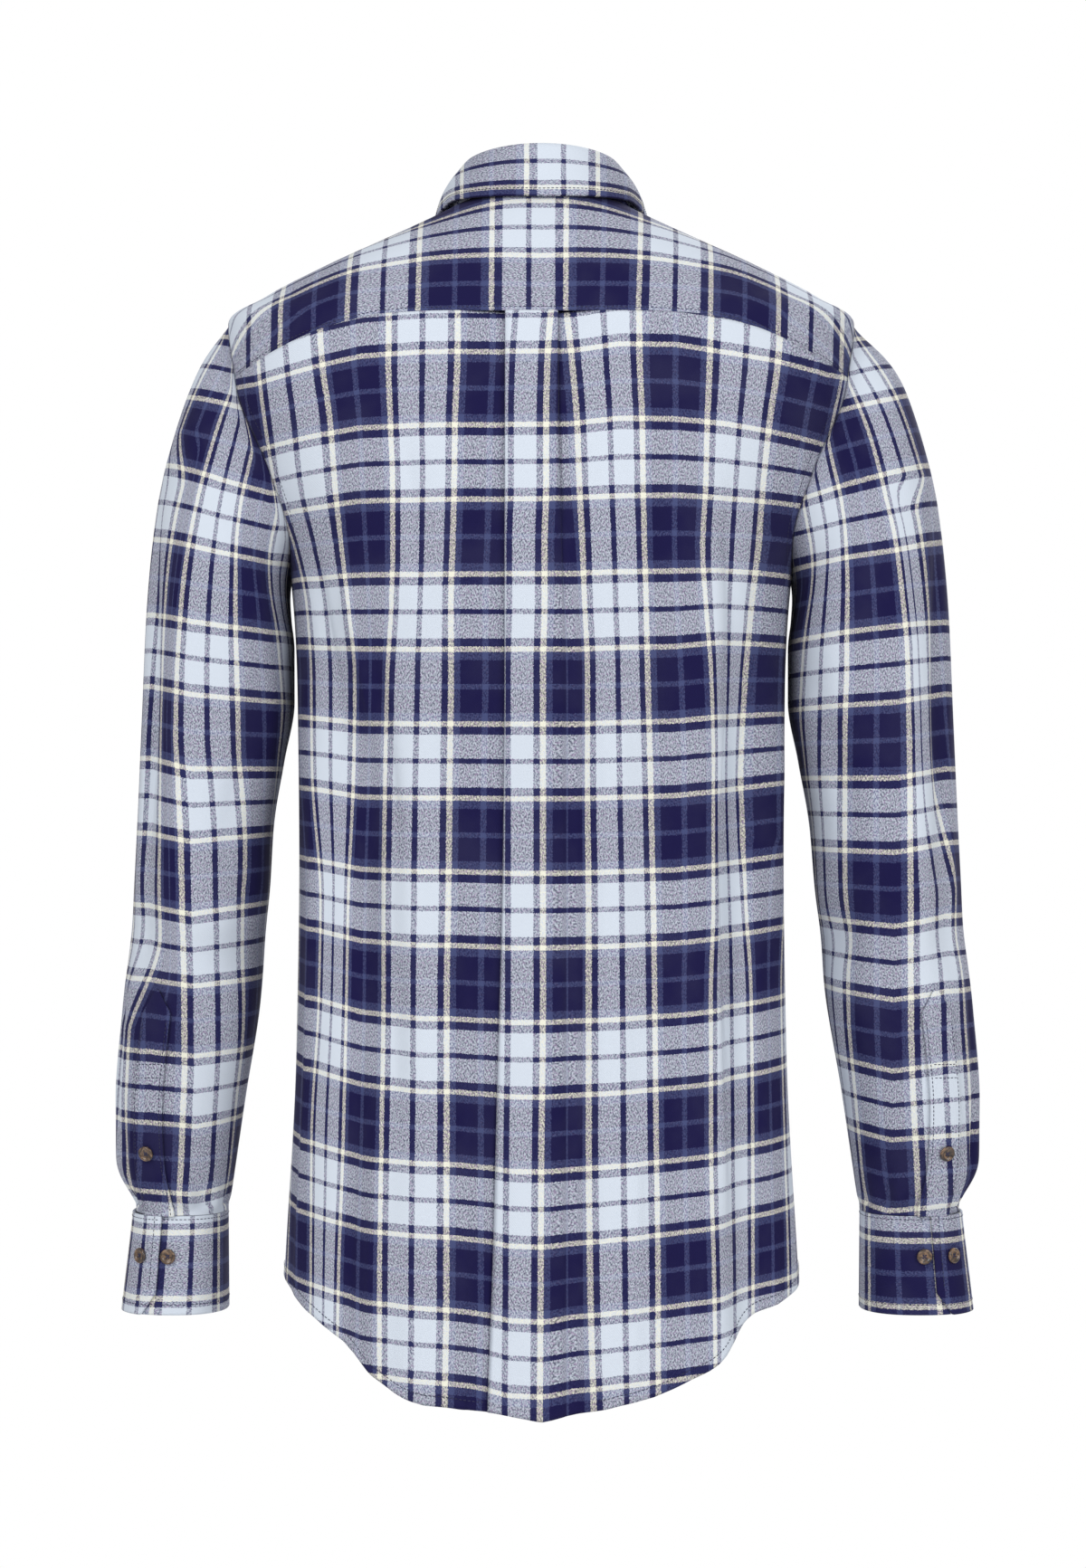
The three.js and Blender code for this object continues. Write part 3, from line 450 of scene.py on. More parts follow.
# %% The back
PLEAT = table(["cloth", "shut_across", "shut_depth", "open_across", "open_depth"], [
    [0, 0, 0, 0, 0],              # middle of the face
    [9, 9, 0, 9, 0],              # face
    [16.6, 16.6, 0, 14, 0.4],     # face edge
    [18, 17.6, 1.1, 17.5, 1.6],   # outer bend
    [19.4, 16.6, 2.2, 20, 3.4],   # return start
    [31.5, 4.5, 2.2, 23, 5.2],    # return end
    [33, 3.5, 3.3, 26, 6],        # inner bend
    [34.5, 4.5, 4.4, 29, 6],      # under start
    [47, 17, 4.4, 34, 4.4],       # under edge
    [59, 29, 2.6, 39, 2.2],       # rise
    [77, 46, 0, 46, 0],           # panel
])
PLEAT_OPENING = table(["level", "left", "right", "stray"], [
    [4, 0, 0, 0], [5, 0, 0.1, 0], [6, 0.05, 0.45, 0], [7, 0.1, 0.8, 0], [8, 0.12, 1, 0],
    [9, 0.15, 1, 1], [10, 0.2, 1, 4], [11, 0.25, 1, 7], [12, 0.25, 1, 11],
])
PLEAT_CENTRE = 6
PLEAT_REACH = 46
FACE_END = 16.6
UNDER_END = 47
PLEAT_CLOTH = 77
UPPER_PART = 0.24
PLEAT_PART = 0.27
HEM_RIDGE = 0.5

arc_turns = np.linspace(YOKE_BACK_TURN, np.pi, 60)
arc_angles, arc_levels = armhole_place(arc_turns)
arc_tops = yoke_level(arc_angles)
arc_shares = (arc_levels - arc_tops) / (underarm_level - arc_tops)
arc_shares[0] = 0


def from_middle(across):
    """Side of the body, and share of the way out from its middle."""
    return np.where(across < 0.5, 1.0, -1.0), np.abs(across - 0.5) * 2


def torso_parts(down):
    """Shares of the way from the yoke to the underarm, and from there to the hem."""
    upper = np.clip(down / UPPER_PART, 0, 1)
    return upper, np.clip((down - UPPER_PART) / (1 - UPPER_PART), 0, 1)


def back_level(share, lower, angle):
    upper_level = mix(yoke_level(angle), underarm_level, share)
    return np.where(lower > 0, mix(underarm_level, hem_level(angle), lower), upper_level)


def pleat_angle(level, from_centre):
    x = PLEAT_CENTRE + from_centre
    return np.sign(x) * angle_across(level, np.abs(x))


def back_form(across, down):
    side, out = from_middle(across)
    upper, lower = torso_parts(down)
    turn = mix(YOKE_BACK_TURN, np.pi, upper)
    edge = np.where(lower > 0, np.pi / 2, np.interp(turn, arc_turns, arc_angles))
    share = np.interp(turn, arc_turns, arc_shares)
    middle_level = back_level(share, lower, np.zeros_like(down))
    cloth = np.minimum(out / PLEAT_PART, 1) * PLEAT_CLOTH
    x, depth = pleat_place(cloth, middle_level, side)
    pleat_edge = pleat_angle(middle_level, side * PLEAT_REACH)
    beyond = np.clip((out - PLEAT_PART) / (1 - PLEAT_PART), 0, 1)
    in_pleat = out < PLEAT_PART
    angle = np.where(in_pleat, pleat_angle(middle_level, x), mix(pleat_edge, side * edge, beyond))
    level = back_level(share, lower, angle)
    places = body(angle, level)
    hem = hem_ridge(angle, places[:, 2], lower)
    places += body_normal(angle, level) * (hem - np.where(in_pleat, depth, 0))[:, None]
    return places, back_grain(places, cloth, middle_level, side)


def pleat_place(cloth, level, side):
    """Distance from the middle of the face, and depth under it, for a length of cloth."""
    row = np.interp(cloth, [line["cloth"] for line in PLEAT], range(len(PLEAT)))
    left, right, stray = (
        look_up(PLEAT_OPENING, "level", level, name) for name in ("left", "right", "stray"))
    opening = np.where(side > 0, left, right)
    stray = np.where(side > 0, stray, 0)
    shut = curve(PLEAT, "shut_across", row)
    across = mix(shut, curve(PLEAT, "open_across", row), opening)
    across = across + stray * smooth(PLEAT_REACH, PLEAT_REACH / 2, shut)
    depth = mix(curve(PLEAT, "shut_depth", row), curve(PLEAT, "open_depth", row), opening)
    return side * across, depth


def hem_ridge(angle, z, lower):
    """The hem is turned up twice, so its last 6 mm stand a little thicker."""
    above = z - hem_height(angle)
    return np.where(lower > 0, HEM_RIDGE * (1 - smooth(5, 8, above)), 0)


# %% [markdown]
# ## The plaid on the back
# On the worn shirt the cream threads drift: they close up where the cloth curves away
# to the sides and spread at the blades. The table gives, for rows down the back, where
# the threads of the left panel, the pleat's face and the right panel lie, in millimetres
# from the middle. A second table says how much a crosswise thread rises or drops there.

# %% Thread charts of the back
LEFT_THREADS = ["left_5", "left_4", "left_3", "left_2"]
RIGHT_THREADS = ["right_1", "right_2", "right_3", "right_4", "right_5"]
BACK_THREADS = table(["z", *LEFT_THREADS, "face", *RIGHT_THREADS], [
    [-80, 185, 142, 97, 53, -6, -16, -62, -108, -153, -202],
    [-107, 183, 140, 97, 53, -4, -19, -62, -107, -151, -197],
    [-150, 178, 134, 95.5, 54.5, -3, -22.5, -63.5, -105, -145, -188],
    [-190, 172, 131, 94, 55, -3, -24, -64, -104, -141, -180],
    [-231, 159, 127, 94, 56, -2, -26, -65, -102, -138, -174],
    [-263, 152, 123, 95, 57, -2, -27, -66, -104, -134, -170],
    [-308, 149, 119, 98, 57, -1, -29, -67, -108, -130, -166],
    [-371, 148, 120, 100, 58, -1, -29, -69, -110, -127, -167],
    [-456, 142, 124, 101, 59, -1, -30, -71, -110, -131, -159],
    [-514, 143, 125, 101, 60, -1, -30, -72, -108, -135, -156],
    [-611, 148, 127, 102, 60, 0, -30, -73, -108, -136, -158],
    [-702, 148, 130, 103, 60, 0.5, -31, -74, -110, -136, -160],
    [-770, 148, 131, 103, 61, 1, -33, -74, -111, -135, -160],
])
DRIFT_STATIONS = [-185, -147, -115, -85, -50, -22, 0, 22, 50, 75, 115, 145, 185]
WEFT_DRIFT = table(["z", *DRIFT_STATIONS], [
    [-106, -10, -3, 1, 5, 5, 1, 0, 0, 0, 0, -2, -8, -18],
    [-153, -8, -2, 2, 4, 4, 1, 0, 0, 0, 0, -1, -5, -12],
    [-200, 0, 1, 2, 3, 2, 1, 0, 0, 0, 0, 0, -3, -6],
    [-295, 6, 5, 5, 2, 1, 0, 0, 0, 0, 0, 1, 3, 8],
    [-390, 13, 9, 5, 2, 1, 0, 0, 0, 0.5, 0.5, 1, 6, 10],
    [-440, 13, 9, 5, 2, 1, 0, 0, 0, 1, 1, 2, 8, 12],
    [-536, 18, 12, 7, 4, 2, 0.5, 0, 0, 2, 2.2, 5, 13, 18],
    [-631, 21, 15, 10, 6.5, 4, 1, 0, 0.5, 4.5, 5.1, 7, 14, 21],
    [-731, 24, 19, 12.5, 8.8, 6, 2.6, 0, 1, 7, 8.5, 11, 19, 25],
    [-790, 25, 20, 13.5, 9.5, 7, 3, 0, 1, 8, 9.5, 12, 20, 26],
])


def girth_way(x, z):
    """Length of cloth round the body from the middle to a distance across."""
    half_width = look_up(RINGS, "z_side", z, "side")
    return half_width * np.arcsin(np.clip(0.98 * x / half_width, -1, 1))


def back_weft(x, z):
    drift = between_columns(x, DRIFT_STATIONS, [
        look_up(WEFT_DRIFT, "z", z, station) for station in DRIFT_STATIONS])
    return (FIRST_WEFT_HEIGHT - z + drift) / WEFT_ON_BACK


def back_grain(places, cloth, level, side):
    x, z = places[:, 0], places[:, 2]

    def panel_number(at_x):
        lines = {name: -girth_way(look_up(BACK_THREADS, "z", z, name), z)
                 for name in LEFT_THREADS + RIGHT_THREADS}
        value = -girth_way(at_x, z)
        left = stripe_number(value, [lines[name] for name in LEFT_THREADS], -5, WARP_HALF)
        right = stripe_number(value, [lines[name] for name in RIGHT_THREADS], 1, WARP_HALF)
        return np.where(side > 0, left, right)

    def face_number(at_x):
        return (look_up(BACK_THREADS, "z", z, "face") - at_x) / WARP_HALF

    fold_x = PLEAT_CENTRE + pleat_place(np.full_like(x, FACE_END), level, side)[0]
    under_x = PLEAT_CENTRE + pleat_place(np.full_like(x, UNDER_END), level, side)[0]
    within = np.clip((cloth - FACE_END) / (UNDER_END - FACE_END), 0, 1)
    behind = mix(face_number(fold_x), panel_number(under_x), within)
    warp = np.where(cloth < FACE_END, face_number(x), behind)
    warp = np.where(cloth > UNDER_END, panel_number(x), warp)
    return np.stack([warp, back_weft(x, z)], axis=-1)


# %% Make the back
cloth_piece("back_panel", 180, 250, back_form, ["back"])

# %% [markdown]
# ## The yoke
# The yoke is cut crosswise, so its plaid runs the other way from the back's. It reaches
# from the collar over both shoulders to a seam on the chest.

# %% The yoke
YOKE_NECK_CORNER = math.radians(66)
YOKE_BACK_PART = 0.72      # share of the yoke's lower edge that runs across the back


def yoke_edge(out):
    """Angle, level and neck angle of the yoke's lower edge, from the centre back to the chest."""
    turn_share = np.clip((out - YOKE_BACK_PART) / (1 - YOKE_BACK_PART), 0, 1)
    turns = mix(YOKE_BACK_TURN, YOKE_FRONT_TURN, turn_share)
    top_angle, top_level = armhole_place(turns)
    back_angle = corner_angle * np.clip(out / YOKE_BACK_PART, 0, 1)
    along_back = out < YOKE_BACK_PART
    angle = np.where(along_back, back_angle, top_angle)
    level = np.where(along_back, yoke_level(back_angle), top_level)
    neck_back = YOKE_NECK_CORNER * back_angle / corner_angle
    neck = np.where(along_back, neck_back, mix(YOKE_NECK_CORNER, YOKE_NECK_ANGLE, turn_share))
    return angle, level, neck


def yoke_form(across, down):
    side, out = from_middle(across)
    angle, level, neck = yoke_edge(out)
    places = body(side * mix(neck, angle, down), level * down)
    return places, yoke_grain(places)


YOKE_ROW = table(["across", "y", "z"], [
    [0, 87, -42], [60, 84, -41], [99, 74, -46], [124, 66, -50], [140, 62, -56], [162, 60, -66],
    [210, 52, -92],
])
YOKE_THREADS = [-124, -78.5, -31.8, 15.6, 62.4, 108.6, 153]
YOKE_THREAD_SPACING = 44
YOKE_DOWN = (0.5, -0.866)


def yoke_grain(places):
    x, y, z = places[:, 0], places[:, 1], places[:, 2]
    row_y = look_up(YOKE_ROW, "across", np.abs(x), "y")
    row_z = look_up(YOKE_ROW, "across", np.abs(x), "z")
    down_way = YOKE_DOWN[0] * (y - row_y) + YOKE_DOWN[1] * (z - row_z)
    far = np.sign(down_way) * np.hypot(y - row_y, z - row_z)
    warp = mix(down_way, far, smooth(8, 30, np.abs(down_way))) / WARP_HALF
    lean = 0.045 * (z + 60) * smooth(0, 60, -x)
    weft = stripe_number(-x - lean, YOKE_THREADS, -3, YOKE_THREAD_SPACING)
    return np.stack([warp, weft], axis=-1)


cloth_piece("yoke_panel", 200, 56, yoke_form, ["yoke"])

# %% [markdown]
# ## The fronts
# Each front hangs from the yoke's chest seam. The left one carries the buttonhole
# placket over its edge, and the right one the button band beneath.

# %% The fronts
front_turns = np.linspace(2 * np.pi + YOKE_FRONT_TURN, np.pi, 60)
front_angles, front_levels = armhole_place(front_turns)
front_corner_angle, front_corner_level = front_angles[0], front_levels[0]
front_shares = (front_levels - front_corner_level) / (underarm_level - front_corner_level)
FRONT_SEAM_PART = 0.34


def front_places(across, down, edge_across):
    neck_end = float(angle_across(np.zeros(1), np.full(1, edge_across), True)[0])
    upper, lower = torso_parts(down)
    turn = mix(2 * np.pi + YOKE_FRONT_TURN, np.pi, upper)
    share = np.interp(-turn, -front_turns, front_shares)
    seam = np.clip(across / FRONT_SEAM_PART, 0, 1)
    neck = np.clip((across - FRONT_SEAM_PART) / (1 - FRONT_SEAM_PART), 0, 1)
    top_level = front_corner_level * (1 - seam)
    seam_angle = mix(front_corner_angle, YOKE_NECK_ANGLE, seam)
    top_angle = np.where(neck > 0, mix(YOKE_NECK_ANGLE, neck_end, neck), seam_angle)
    plain = (top_angle - front_corner_angle) / (neck_end - front_corner_angle)
    blended = mix(plain, across, smooth(0, 0.3, lower))
    start = np.where(lower > 0, np.pi / 2, np.interp(-turn, -front_turns, front_angles))
    level = mix(top_level, underarm_level, share)
    guess = mix(underarm_level, hem_level(np.radians(170) + 0 * lower), lower)
    end = angle_across(np.where(lower > 0, guess, level), np.full_like(across, edge_across), True)
    angle = mix(start, end, blended)
    level = np.where(lower > 0, mix(underarm_level, hem_level(angle), lower), level)
    return angle, level


def front_form(side, edge_across):
    def form(across, down):
        angle, level = front_places(across, down, edge_across)
        places = body(side * angle, level)
        lower = np.clip(down - UPPER_PART, 0, 1)
        ridge = hem_ridge(angle, places[:, 2], lower)
        places += body_normal(side * angle, level) * ridge[:, None]
        return places, front_grain(places)
    return form


def front_grain(places):
    x, z = places[:, 0], places[:, 2]
    warp = 0.5 + girth_way(x, z) / WARP_HALF
    side_drift = np.where(
        x > 0, look_up(WEFT_DRIFT, "z", z, 185), look_up(WEFT_DRIFT, "z", z, -185))
    drift = side_drift * smooth(60, 180, np.abs(x))
    return np.stack([warp, (FIRST_WEFT_HEIGHT - z + drift) / WEFT_ON_BACK], axis=-1)


LEFT_EDGE = PLACKET_WIDTH / 2 - PLACKET_UNDERLAP
RIGHT_EDGE = PLACKET_WIDTH / 2 + SEAM_GAP
for label, side, edge in [("left", 1, LEFT_EDGE), ("right", -1, RIGHT_EDGE)]:
    cloth_piece(
        f"front_panel_{label}", 84, 220, front_form(side, edge), [f"front_{label}"],
        flip=side > 0)


def band_form(start, end, lift, top_level):
    def form(across, down):
        rows = front_places(np.ones_like(down), down, PLACKET_WIDTH / 2)[1]
        level = np.where(down < 0.05, mix(top_level, rows, smooth(0, 0.05, down)), rows)
        reach = mix(start, end, across)
        angle = np.sign(reach + 1e-9) * angle_across(level, np.abs(reach), True)
        places = body(angle, level) + body_normal(angle, level) * lift
        return places, front_grain(places)
    return form


cloth_piece(
    "front_placket", 16, 220,
    band_form(PLACKET_WIDTH / 2, -PLACKET_WIDTH / 2, CLOTH + LIFT, PLACKET_TOP_LEVEL), ["placket"],
    flip=True)
cloth_piece(
    "front_button_band", 14, 220,
    band_form(LEFT_EDGE - SEAM_GAP, -PLACKET_WIDTH / 2, 0, 0),
    ["button_band"], flip=True)

# %% [markdown]
# ## The sleeves
# A sleeve is one flat piece rolled into a tube and sewn under the arm. The grid is rolled
# the same way: its two long edges meet in a line under the arm and are merged there.
# Folds are soft bells that sink or rise, placed where the arm bends and where
# the cloth bunches above the cuff.

# %% The sleeve's form
SLEEVE = table(["outer_x", "outer_z", "inner_x", "inner_z", "back", "front"], [
    [207, -77, 166, -242, 58, -58],    # armhole
    [224, -102, 167, -256, 65, -64],   # cap
    [241, -146, 166, -272, 69, -68],   # head
    [254, -200, 164, -292, 70, -70],   # upper arm
    [261, -268, 164, -326, 68, -70],   # biceps
    [264, -336, 171, -366, 65, -68],   # lower biceps
    [267, -402, 178, -410, 62, -66],   # above elbow
    [271, -468, 181, -466, 58, -64],   # elbow
    [278, -530, 187, -526, 49, -64],   # below elbow
    [283, -588, 197, -586, 38, -67],   # forearm
    [280, -630, 204, -630, 26, -70],   # blouse
    [273, -655, 208, -655, 17, -69],   # gather
    [271, -665, 210, -665, 12, -68],   # cuff seam
    [279, -731, 210, -731, 10, -77],   # cuff hem
])
CUFF_SEAM = 12
SLEEVE_FULLNESS = 2.35
SLEEVE_CLEARANCE = 2.6
SLEEVE_FOLDS = [  # section, angle, length, width, lean, depth
    (5.2, 42, 2.1, 16, 3, -5), (5.4, 74, 2.3, 18, 2, 3), (7.3, 150, 0.4, 34, 0, -4),
    (7.2, 48, 0.35, 30, 12, -4), (7.0, -100, 0.4, 46, -10, -5), (6.1, -70, 0.35, 40, 8, -4),
    (10.2, 10, 0.7, 38, 0, 4), (11.3, 22, 0.8, 9, 0, -4), (11.2, 118, 0.8, 10, 0, -3),
    (11.2, -62, 0.8, 10, 0, -4),
]
FINE_SLEEVE_FOLDS = {  # the same columns, narrower, on each sleeve
    "left": [
        (3.4, 26, 1.5, 8, 5, -3.0), (4.8, 38, 1.6, 6, 4, -3.4), (5.6, 30, 1.3, 7, 2, 2.2),
        (5.2, 118, 1.4, 12, -6, -2.2), (6.7, 128, 0.28, 26, 30, -2.6), (7.0, 96, 0.25, 30, 24, 2.0),
        (7.45, 120, 0.3, 28, 20, -3.0), (7.9, 66, 0.3, 24, -18, -2.0), (8.3, 132, 0.35, 24, 14, 2.0),
        (8.6, 20, 1.4, 7, 2, -2.6), (10.1, 36, 0.9, 6, -4, -3.0), (10.9, 100, 0.7, 7, 3, 2.4),
        (11.2, 84, 0.7, 5, 0, -2.6), (11.3, 44, 0.6, 5, 0, 2.4), (11.4, 140, 0.6, 7, 0, 2.2),
        (11.3, 165, 0.7, 7, 0, -2.6), (11.3, -30, 0.8, 6, 0, 2.6), (11.3, -90, 0.8, 7, 0, -2.8),
        (11.3, -120, 0.7, 7, 0, 2.4), (7.3, -60, 0.3, 36, 22, -3.4), (7.7, -110, 0.3, 34, -20, -3.0),
        (6.6, -90, 0.3, 36, 16, 2.4), (4.6, -50, 1.4, 10, 6, -2.6), (5.0, -120, 1.5, 11, -6, 2.4),
        (9.2, -60, 1.0, 9, 4, -2.8), (9.6, -110, 1.0, 9, -4, 2.4),
    ],
    "right": [
        (3.6, 30, 1.5, 9, 4, -2.6), (4.9, 46, 1.5, 7, 6, -3.0), (6.2, 34, 1.2, 6, 3, 2.0),
        (5.0, 126, 1.3, 12, -8, -2.0), (6.9, 116, 0.28, 28, 26, -2.4), (7.25, 140, 0.28, 26, 20, -3.0),
        (7.6, 80, 0.3, 26, -22, -2.2), (8.1, 124, 0.32, 24, 12, 2.2), (8.8, 28, 1.3, 7, 3, -2.4),
        (9.9, 28, 0.9, 6, -4, -2.8), (10.8, 108, 0.7, 8, 2, 2.2), (11.25, 92, 0.7, 5, 0, -2.4),
        (11.3, 38, 0.6, 5, 0, 2.4), (11.35, 150, 0.6, 7, 0, -2.4), (11.3, -40, 0.8, 6, 0, 2.4),
        (11.3, -100, 0.8, 7, 0, -2.6), (7.2, -80, 0.3, 36, 20, -3.2), (7.8, -120, 0.3, 34, -18, 2.6),
        (6.5, -60, 0.3, 36, 14, -2.4), (4.4, -70, 1.4, 10, 5, 2.4), (9.0, -80, 1.0, 9, 4, -2.6),
        (9.7, -130, 1.0, 9, -4, 2.2),
    ],
}
RIGHT_SLEEVE_SWING = 8.5
INNER_SWING = 0.45


def sleeve_section(section, turn):
    power = 2 / SLEEVE_FULLNESS
    outwards = np.sign(np.cos(turn)) * np.abs(np.cos(turn)) ** power
    backwards = np.sign(np.sin(turn)) * np.abs(np.sin(turn)) ** power
    outwards, backwards = (1 + outwards) / 2, (1 + backwards) / 2
    return np.stack([
        mix(curve(SLEEVE, "inner_x", section), curve(SLEEVE, "outer_x", section), outwards),
        mix(curve(SLEEVE, "front", section), curve(SLEEVE, "back", section), backwards),
        mix(curve(SLEEVE, "inner_z", section), curve(SLEEVE, "outer_z", section), outwards),
    ], axis=-1)


def sleeve_fold(section, turn, swing):
    degrees_round = np.degrees(turn)
    total = np.zeros_like(turn)
    for at, angle, length, width, lean, depth in (
            SLEEVE_FOLDS + FINE_SLEEVE_FOLDS["right" if swing else "left"]):
        away = section - at
        round_away = (degrees_round - angle - lean * away + 540) % 360 - 180
        total += depth * bell(round_away / width) * bell(away / length)
    return total


def sleeve(turn, section, swing=0):
    turn, section = np.broadcast_arrays(np.asarray(turn, float), np.asarray(section, float))
    places = sleeve_section(section, turn)
    middle = (sleeve_section(section, 0 * turn) + sleeve_section(section, 0 * turn + np.pi)) / 2
    middle[..., 1] = mix(curve(SLEEVE, "front", section), curve(SLEEVE, "back", section), 0.5)
    ease = smooth(2, 4, section) * smooth(CUFF_SEAM, CUFF_SEAM - 0.6, section)
    places = places + unit(places - middle) * (sleeve_fold(section, turn, swing) * ease)[..., None]
    angle, level = armhole_place(turn)
    seam = body(angle, level) - sleeve_section(0 * section, turn)
    blend = np.where(section < 2, (1 - section / 2) ** 2, 0)
    places = places + seam * blend[..., None]
    angle = np.arctan2(places[..., 0], places[..., 1])
    level = level_at(angle, places[..., 2])
    fold = np.maximum(body_fold(angle, places[..., 2]), body_fold(-angle, places[..., 2]))
    side = ring_radius(level, angle) + fold + SLEEVE_CLEARANCE * smooth(0, 1, section)
    away = np.hypot(places[..., 0], places[..., 1])
    near = (section > 0) & (level < LAST_RING - 0.001) & (away < side)
    places[..., :2] *= np.where(near, side / away, 1)[..., None]
    outer, inner = curve(SLEEVE, "outer_x", section), curve(SLEEVE, "inner_x", section)
    out_share = np.clip((places[..., 0] - inner) / (outer - inner), 0, 1)
    inner_swing = INNER_SWING * smooth(5, 9, section)
    places[..., 0] += swing * mix(inner_swing, smooth(0, 1.5, section), out_share)
    return places


def sleeve_normal(turn, section, swing=0):
    round_way = sleeve(turn + 0.02, section, swing) - sleeve(turn - 0.02, section, swing)
    down_way = sleeve(turn, section + 0.05, swing) - sleeve(turn, section - 0.05, swing)
    return -unit(np.cross(round_way, down_way))


def mirrored(places, side):
    return places * np.array([side, 1, 1])


# %% [markdown]
# ## The plaid on the sleeves
# One cream thread down the back of each sleeve is charted by its height and its distance
# from the middle. The other threads follow from it, by the length of cloth round the
# sleeve. The crosswise threads lie square to the arm, so they are lower inside.

# %% Thread charts of the sleeves
GUIDE_THREAD = {
    "left": table(["z", "x"], [
        [-124, 202], [-155, 211], [-190, 220.4], [-225, 227.4], [-260, 232], [-312, 235.3],
        [-347, 236.1], [-382, 234.5], [-417, 232.9], [-505, 232], [-559, 232.3],
        [-595, 234.2], [-632, 236.5], [-650, 238.3]]),
    "right": table(["z", "x"], [
        [-119, 200.3], [-155, 212.3], [-190, 221], [-225, 228.6], [-260, 232.8],
        [-294, 235.9], [-347, 237.3], [-400, 238.1], [-541, 240.2], [-577, 242.1],
        [-613, 244.8], [-650, 247.9]]),
}
SLEEVE_WEFT = {  # heights of the crosswise cream threads at three places across
    "left": {
        205: [133, 184, 231, 278, 324, 370, 415, 461, 509, 555, 601, 646],
        226: [128, 177, 226, 275, 322, 370, 417, 464, 511, 557, 604, 650],
        255: [118, 168, 219, 269, 316, 363, 412, 459, 507, 554, 601, 648]},
    "right": {
        195: [137, 187, 234, 282, 329, 376, 423, 469, 515, 560, 606, 654],
        229: [129, 178, 229, 278, 327, 376, 424, 472, 520, 567, 613, 662],
        264: [116, 168, 221, 274, 321, 370, 418, 466, 515, 562, 610, 658]},
}
SLEEVE_COLUMNS = 140
SLEEVE_ROWS = 240
INWARDS = {"left": 1, "right": -1}
SLEEVE_TUCK = {  # warp threads that a soft crease takes in, outside the guide thread
    "left": table(["z", "threads"], [[-150, 0], [-190, 0.6], [-480, 0.6], [-540, 0]]),
    "right": table(["z", "threads"], [[-180, 0], [-205, 0.45], [-350, 0.45], [-450, 0]]),
}


def sleeve_weft(label, x, z):
    charts = SLEEVE_WEFT[label]
    places = sorted(charts)
    numbers = [stripe_number(-z, charts[place], 0, WEFT_HALF) for place in places]
    inside = (numbers[0] - numbers[1]) * np.clip((places[0] - x) / 25, 0, 1.2)
    return between_columns(x, places, numbers) + inside


def sleeve_warp(label, swing):
    """Warp numbers on the sleeve's own grid, by row and column."""
    turn = np.pi * (1 + 2 * np.linspace(0, 1, SLEEVE_COLUMNS + 1)) % (2 * np.pi)
    section = CUFF_SEAM * np.linspace(0, 1, SLEEVE_ROWS + 1)
    places = sleeve(turn[None, :], section[:, None], swing)
    along = lengths_along(places, axis=1)
    inside = look_up(GUIDE_THREAD[label], "z", places[..., 2], "x") - places[..., 0]
    back = SLEEVE_COLUMNS // 2
    guide = [np.interp(0, row[back:], length[back:]) for row, length in zip(inside, along)]
    inwards = along - np.array(guide)[:, None]
    tuck = look_up(SLEEVE_TUCK[label], "z", places[..., 2], "threads") * smooth(2, 14, -inwards)
    return 1 + INWARDS[label] * (inwards / WARP_HALF - tuck)


# %% The two sleeves
def sleeve_form(label, side, swing):
    numbers = sleeve_warp(label, swing)

    def form(across, down):
        turn = np.pi * (1 + 2 * across) % (2 * np.pi)
        places = sleeve(turn, CUFF_SEAM * down, swing)
        row = np.rint(down * SLEEVE_ROWS).astype(int)
        column = np.rint(across * SLEEVE_COLUMNS).astype(int)
        weft = sleeve_weft(label, places[:, 0], places[:, 2])
        return mirrored(places, side), np.stack([numbers[row, column], weft], axis=-1)
    return form


SLEEVES = [("left", 1, 0), ("right", -1, RIGHT_SLEEVE_SWING)]
for label, side, swing in SLEEVES:
    cloth_piece(
        f"sleeve_tube_{label}", SLEEVE_COLUMNS, SLEEVE_ROWS, sleeve_form(label, side, swing),
        [f"sleeve_{label}"], closed=True, flip=side < 0)

# %% [markdown]
# ## The sleeve plackets and cuffs
# The slit above each cuff is bound by a narrow pointed placket with one button. The cuff
# is a doubled strip that laps over itself and closes with a button; a second button sits
# beside it, for a tighter fit.

# %% Sleeve plackets and cuffs
SLEEVE_PLACKET_TURN = math.radians(70)
SLEEVE_PLACKET_WIDTH = 20
SLEEVE_PLACKET_TOP = 7.75
PLACKET_RISE = 2.4
CUFF_OVERLAP = math.radians(75)
CUFF_LAP = math.radians(34)
CUFF_CORNER = math.radians(16)
CUFF_START = CUFF_OVERLAP - CUFF_LAP
CUFF_END = 2 * math.pi + CUFF_OVERLAP
STRIP_SHIFT = {"left": -0.12, "right": -0.01}
TURN_STEP = 0.1


def on_placket(section, offset, swing):
    """Places on a sleeve's placket, some millimetres from its middle line, and normals."""
    middle = np.full_like(section, SLEEVE_PLACKET_TURN)
    chord = sleeve(middle + TURN_STEP, section) - sleeve(middle - TURN_STEP, section)
    turn = middle + offset * 2 * TURN_STEP / np.linalg.norm(chord, axis=-1)
    normal = sleeve_normal(turn, section, swing)
    return sleeve(turn, section, swing) + normal * PLACKET_RISE, normal


def sleeve_placket_form(label, side, swing):
    def form(across, down):
        section = mix(SLEEVE_PLACKET_TOP, CUFF_SEAM, down)
        point = np.clip((section - SLEEVE_PLACKET_TOP) / (8 - SLEEVE_PLACKET_TOP), 0, 1)
        offset = (across - 0.5) * SLEEVE_PLACKET_WIDTH * mix(0.12, 1, point)
        places = on_placket(section, offset, swing)[0]
        guide = look_up(GUIDE_THREAD[label], "z", places[:, 2], "x")
        warp = 1 + INWARDS[label] * (guide - places[:, 0]) / WARP_HALF - STRIP_SHIFT[label]
        weft = sleeve_weft(label, places[:, 0], places[:, 2])
        return mirrored(places, side), np.stack([warp, weft], axis=-1)
    return form


